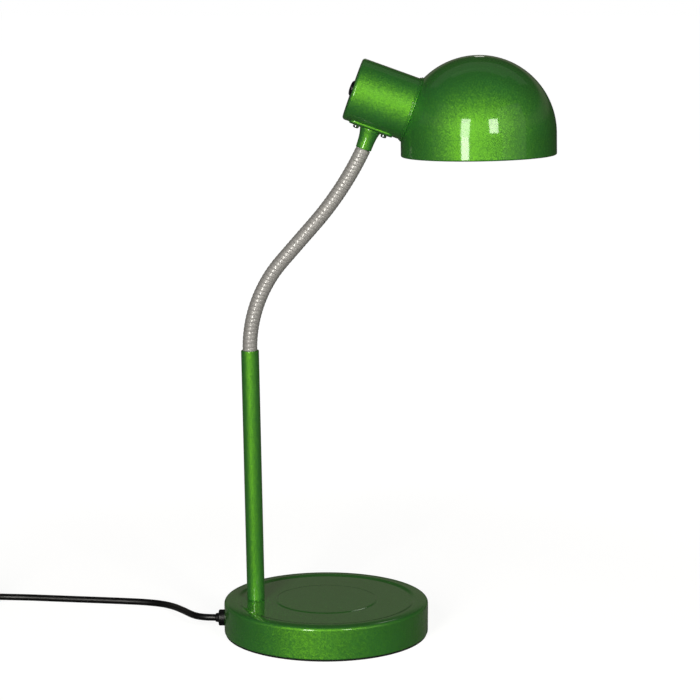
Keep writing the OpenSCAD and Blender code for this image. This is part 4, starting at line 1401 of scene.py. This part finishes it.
@dataclass
class CupAndSaddle:
    """The cup that holds the lampholder, its collar, and the saddle and cone that carry it."""

    layout: Layout
    wall: float = 0.8
    edge_r: float = 2.2
    button_hole_r: float = 5.8
    collar_r: float = 24.0
    saddle_len: float = 32.0
    saddle_w: float = 19.0
    saddle_corner: float = 4.0
    saddle_gap: float = 0.02
    saddle_edge: float = 0.3
    cone_foot_r: float = 5.7
    cone_top_r: float = 7.5
    cone_bore_r: float = 4.15
    cone_lap: float = 0.9
    cone_edge: float = 0.35
    screw_r: float = 1.25
    screw_pitch: float = 20.8
    screw_end: float = 3.4
    pan_out: float = 0.9
    pan_t: float = 1.7
    slot_deep: float = 0.55
    slot_half: float = 0.35

    def build_cup(self) -> None:
        """The cup, open at its mouth, with a hole for the button in its rear face."""
        r, wall, hole = self.layout.cup_r, self.wall, self.button_hole_r
        back, front = self.layout.rear_x, -self.layout.shade_x
        corners = [
            (hole, back, 0.15), (r, back, self.edge_r), (r, front, 0.1), (r - wall, front, 0.1),
            (r - wall, back + wall, self.edge_r - wall), (hole, back + wall, 0.15),
        ]  # fmt: skip
        obj = build_object("cup_shell", *lathe(rounded(corners, 8), 128), self.layout.cup_axis())
        add_piece(obj, Finishes.LACQUER, "head", ["holder_cup"])

    def build_collar(self) -> None:
        """The collar between cup and shade: a fine bead, a plain ring, and a groove beside the dome."""
        r, front = self.layout.cup_r, -self.layout.shade_x
        inner, groove_r = r - self.wall - 0.4, self.collar_r - 0.9
        buried = self.layout.shade_r - 0.3
        corners = [
            (inner, front, 0), (r + 0.45, front, 0.2), (r + 0.75, front + 0.45, 0.3),
            (r + 0.35, front + 0.95, 0.12), (self.collar_r, front + 1.15, 0.4),
            (self.collar_r, front + 1.9, 0.35), (groove_r, front + 2.3, 0.1),
            (groove_r, -math.sqrt(buried**2 - groove_r**2), 0), (inner, -math.sqrt(buried**2 - inner**2), 0),
        ]  # fmt: skip
        obj = build_object("collar_ring", *lathe(rounded(corners), 128), self.layout.cup_axis())
        add_piece(obj, Finishes.LACQUER, "head", ["shade_collar"])

    def saddle_outline(self, inset: float) -> list[Point2]:
        """Outline of the saddle in plan, in by an inset."""
        x, y = self.saddle_len / 2 - inset, self.saddle_w / 2 - inset
        return rounded_box(-x, x, -y, y, self.saddle_corner - inset, 10)

    def build_saddle(self) -> None:
        """The thin curved plate under the cup, with softened edges."""
        outer, inner, ease = self.layout.saddle_r, self.layout.cup_r + self.saddle_gap, self.saddle_edge
        middle = [t / 8 for t in range(1, 9)]
        # Share of the outline, its inset, and the radius that it lies on
        stages: list[Point3] = [(t, ease, outer) for t in middle]
        stages += [(1.0, ease * 0.3, outer - ease * 0.3), (1.0, 0.0, outer - ease), (1.0, 0.0, inner)]
        stages += [(t, 0.0, inner) for t in reversed(middle[:-1])]
        rings = [[Vector((0, 0, -outer))]]
        for share, inset, radius in stages:
            plan = [(x * share, y * share) for x, y in self.saddle_outline(inset)]
            rings.append([Vector((x, y, -math.sqrt(radius**2 - y**2))) for x, y in plan])
        rings.append([Vector((0, 0, -inner))])
        place = self.layout.head() @ Matrix.Translation((self.layout.saddle_x, 0, 0))
        obj = build_object("saddle", *skinned(rings, False), place, 50)
        add_piece(obj, Finishes.LACQUER, "head", ["saddle_plate"])

    def build_cone(self) -> None:
        """The cone that spreads from the neck to the saddle."""
        h, foot, top, edge = self.layout.cone_len, self.cone_foot_r, self.cone_top_r, self.cone_edge
        profile = [(self.cone_bore_r, 0.0), (foot - edge, 0.0), (foot - 0.1, 0.1), (foot, edge)]
        for t in (i / 16 for i in range(1, 17)):
            profile.append((foot + (top - foot) * (0.28 * t + 0.72 * t**3.2), edge + (h - edge) * t))
        profile += [(top, h + self.cone_lap), (self.cone_bore_r, h + self.cone_lap)]
        place = self.layout.head() @ Matrix.Translation((self.layout.saddle_x, 0, -self.layout.saddle_r - h))
        obj = build_object("cone", *lathe(profile, 96), place)
        add_piece(obj, Finishes.LACQUER, "head", ["neck_cone"])

    def screw(self, x: float) -> Shell:
        """A pan head screw with a slot across its head.

        Args:
            x: its place along the saddle.

        Returns:
            Points and faces.
        """
        head_r, top = self.screw_r + self.pan_out, -self.pan_t
        end = self.layout.saddle_t + self.wall + self.screw_end
        floor, shank = top + self.slot_deep, self.screw_r / head_r
        # Share of the head's radius, and level from the saddle's face
        stages = [
            (0.0, floor), (0.45, floor), (0.46, top), (0.7, top + 0.1), (0.9, top + 0.4), (1.0, top + 0.85),
            (1.0, 0.0), (shank, 0.0), (shank, end), (0.0, end),
        ]  # fmt: skip
        foot = -self.layout.saddle_r - self.saddle_gap
        rings: list[list[Vector]] = []
        for share, level in stages:
            r = share * head_r
            ring = [(r * math.cos(a), r * math.sin(a)) for a in circle(32 if share else 1)]
            if level == floor:
                # The slot's floor is as narrow as the slot and nearly as long as the head is wide.
                ring = [(2 * u, math.copysign(min(abs(v), self.slot_half), v)) for u, v in ring]
            rings.append([Vector((x + u, v, foot + level)) for u, v in ring])
        return skinned(rings, False)

    def build_screws(self) -> None:
        """Two screws under the saddle."""
        place = self.layout.head() @ Matrix.Translation((self.layout.saddle_x, 0, 0))
        pair = merged([self.screw(side * self.screw_pitch / 2) for side in (-1, 1)])
        obj = build_object("pan_screws", *pair, place)
        add_piece(obj, Finishes.ZINC, "head", ["saddle_screws"])

    def build(self) -> None:
        """Builds the cup, collar, saddle, cone and screws."""
        self.build_cup()
        self.build_collar()
        self.build_saddle()
        self.build_cone()
        self.build_screws()


@dataclass
class DomeShade:
    """The domed shade with its straight skirt, rolled bead and enamelled inside."""

    layout: Layout
    sheet: float = 0.9
    skirt: float = 15.4
    bead_r: float = 1.0
    enamel_t: float = 0.15
    enamel_lap: float = 0.03
    enamel_end: float = 0.4

    def build(self) -> None:
        """Builds the painted shell and its lining."""
        r, face = self.layout.shade_r, self.layout.shade_r - self.sheet
        low = -self.skirt + self.bead_r
        back = math.degrees(math.acos(1 - self.sheet / self.bead_r))
        profile = quarter(r, 48) + [(r, low * 0.5)]
        profile += arc((r - self.bead_r, low), self.bead_r, 0, back - 360, 16)
        profile += [(face, low * 0.5)] + quarter(face, 40)[::-1]
        obj = build_object("dome", *lathe(profile, 224), self.layout.shade())
        add_piece(obj, Finishes.LACQUER, "head", ["shade"])

        outer, inner, end = face + self.enamel_lap, face - self.enamel_t, low + self.enamel_end
        lining = quarter(outer, 40) + [(outer, end), (inner, end)] + quarter(inner, 40)[::-1]
        obj = build_object("dome_lining", *lathe(lining, 160), self.layout.shade())
        add_piece(obj, Finishes.ENAMEL, "head")


@dataclass
class BulbAndButton:
    """The bulb's glass inside the shade and the push button in the cup's rear face."""

    layout: Layout
    bulb_r: float = 20.0
    bulb_len: float = 70.0
    hole_r: float = 14.3
    cap_r: float = 6.9
    glass_t: float = 0.8
    flange_seat: float = 0.1
    thread_in: float = 6.3
    cap_len: float = 16.0
    cap_lap: float = 3.0
    button_r: float = 5.5
    button_rise: float = 2.0
    button_in: float = 0.9
    lip_r: float = 6.2
    lip_t: float = 1.2
    stalk_r: float = 2.5
    stalk_end: float = 5.7

    def glass_line(self, depth: float) -> list[Point2]:
        """Outline of the glass, from its neck in the cap to its crown.

        Args:
            depth: how far inside the outer face it runs.

        Returns:
            The outline's points.
        """
        front = -math.sqrt(self.layout.shade_r**2 - self.hole_r**2) - self.flange_seat - self.thread_in
        cap = front + self.cap_lap
        centre = front - self.cap_len + self.bulb_len - self.bulb_r
        r, neck = self.bulb_r - depth, self.cap_r - 0.5 - depth
        line = [(neck - 0.5, cap - 5), (neck - 0.5, cap), (neck + 0.4, cap + 2.4), (neck + 1.9, cap + 6.5)]
        for a in (math.radians(turn) for turn in range(145, 0, -5)):
            line.append((r * math.sin(a), centre + r * math.cos(a)))
        return line + [(0.0, centre + r)]

    def build_glass(self) -> None:
        """The bulb's glass: a globe that narrows to its cap."""
        profile = self.glass_line(0) + self.glass_line(self.glass_t)[::-1]
        obj = build_object("bulb_globe", *lathe(profile, 96), self.layout.cup_axis())
        add_piece(obj, Finishes.OPAL, "head", ["bulb_glass"])

    def build_button(self) -> None:
        """The black push button with its slightly domed face."""
        r, back = self.button_r, self.layout.rear_x
        face, lip = back - self.button_rise, back + self.button_in
        lip_end, stalk_end = lip + self.lip_t, lip + self.stalk_end
        corners = [
            (0.0, face, 0), (r * 0.4, face + 0.1, 2.0), (r * 0.78, face + 0.5, 1.5), (r, face + 1.3, 0.7),
            (r, lip, 0), (self.lip_r, lip, 0.1), (self.lip_r, lip_end, 0.1), (self.stalk_r, lip_end, 0.1),
            (self.stalk_r, stalk_end, 0.3), (0.0, stalk_end, 0),
        ]  # fmt: skip
        obj = build_object("push_cap", *lathe(rounded(corners, 6), 72), self.layout.cup_axis())
        add_piece(obj, Finishes.ABS, "push_button", ["switch_button"])

    def build(self) -> None:
        """Builds the glass and the button."""
        self.build_glass()
        self.build_button()


# Fixings that keep their CAD shape


@dataclass
class Fixings:
    """Inner parts and fasteners that keep their CAD solids and get their finishes here."""

    finishes: tuple[tuple[Finish, str], ...] = (
        (Finishes.CAST_IRON, "base_weight"),
        (Finishes.ZINC_SHEET, "bottom_plate"),
        (Finishes.FOAM_PAD, "base_pad"),
        (Finishes.ZINC, "plate_screws stem_nipple stem_washer stem_nut saddle_nuts"),
        (Finishes.PVC, "cord_stop"),
        (Finishes.BRASS, "stem_insert neck_ferrule holder_thread"),
        (Finishes.BRASS, "centre_contact side_contact terminal_screws"),
        (Finishes.CORE_BROWN, "stem_leads head_leads"),
        (Finishes.PHENOLIC, "shade_ring lampholder_body bulb_tip switch_body"),
        (Finishes.ALUMINIUM, "bulb_cap"),
        (Finishes.SPRING_STEEL, "switch_spring"),
    )

    def build(self) -> None:
        """Gives each kept node its finish."""
        for finish, names in self.finishes:
            for name in names.split():
                node = frame["nodes"][name]
                for place in node.material_slots:
                    place.material = finish.material()
                report(node, finish)


def main() -> None:
    """Builds the studio and the lamp."""
    logging.basicConfig(level=logging.INFO, format="%(message)s", stream=sys.stdout)
    layout = Layout()
    Studio().build()
    MainsLead(layout).build()
    WeightedBase(layout).build()
    Upright(layout).build()
    WoundNeck(layout).build()
    CupAndSaddle(layout).build()
    DomeShade(layout).build()
    BulbAndButton(layout).build()
    Fixings().build()


if __name__ == "__main__":
    main()
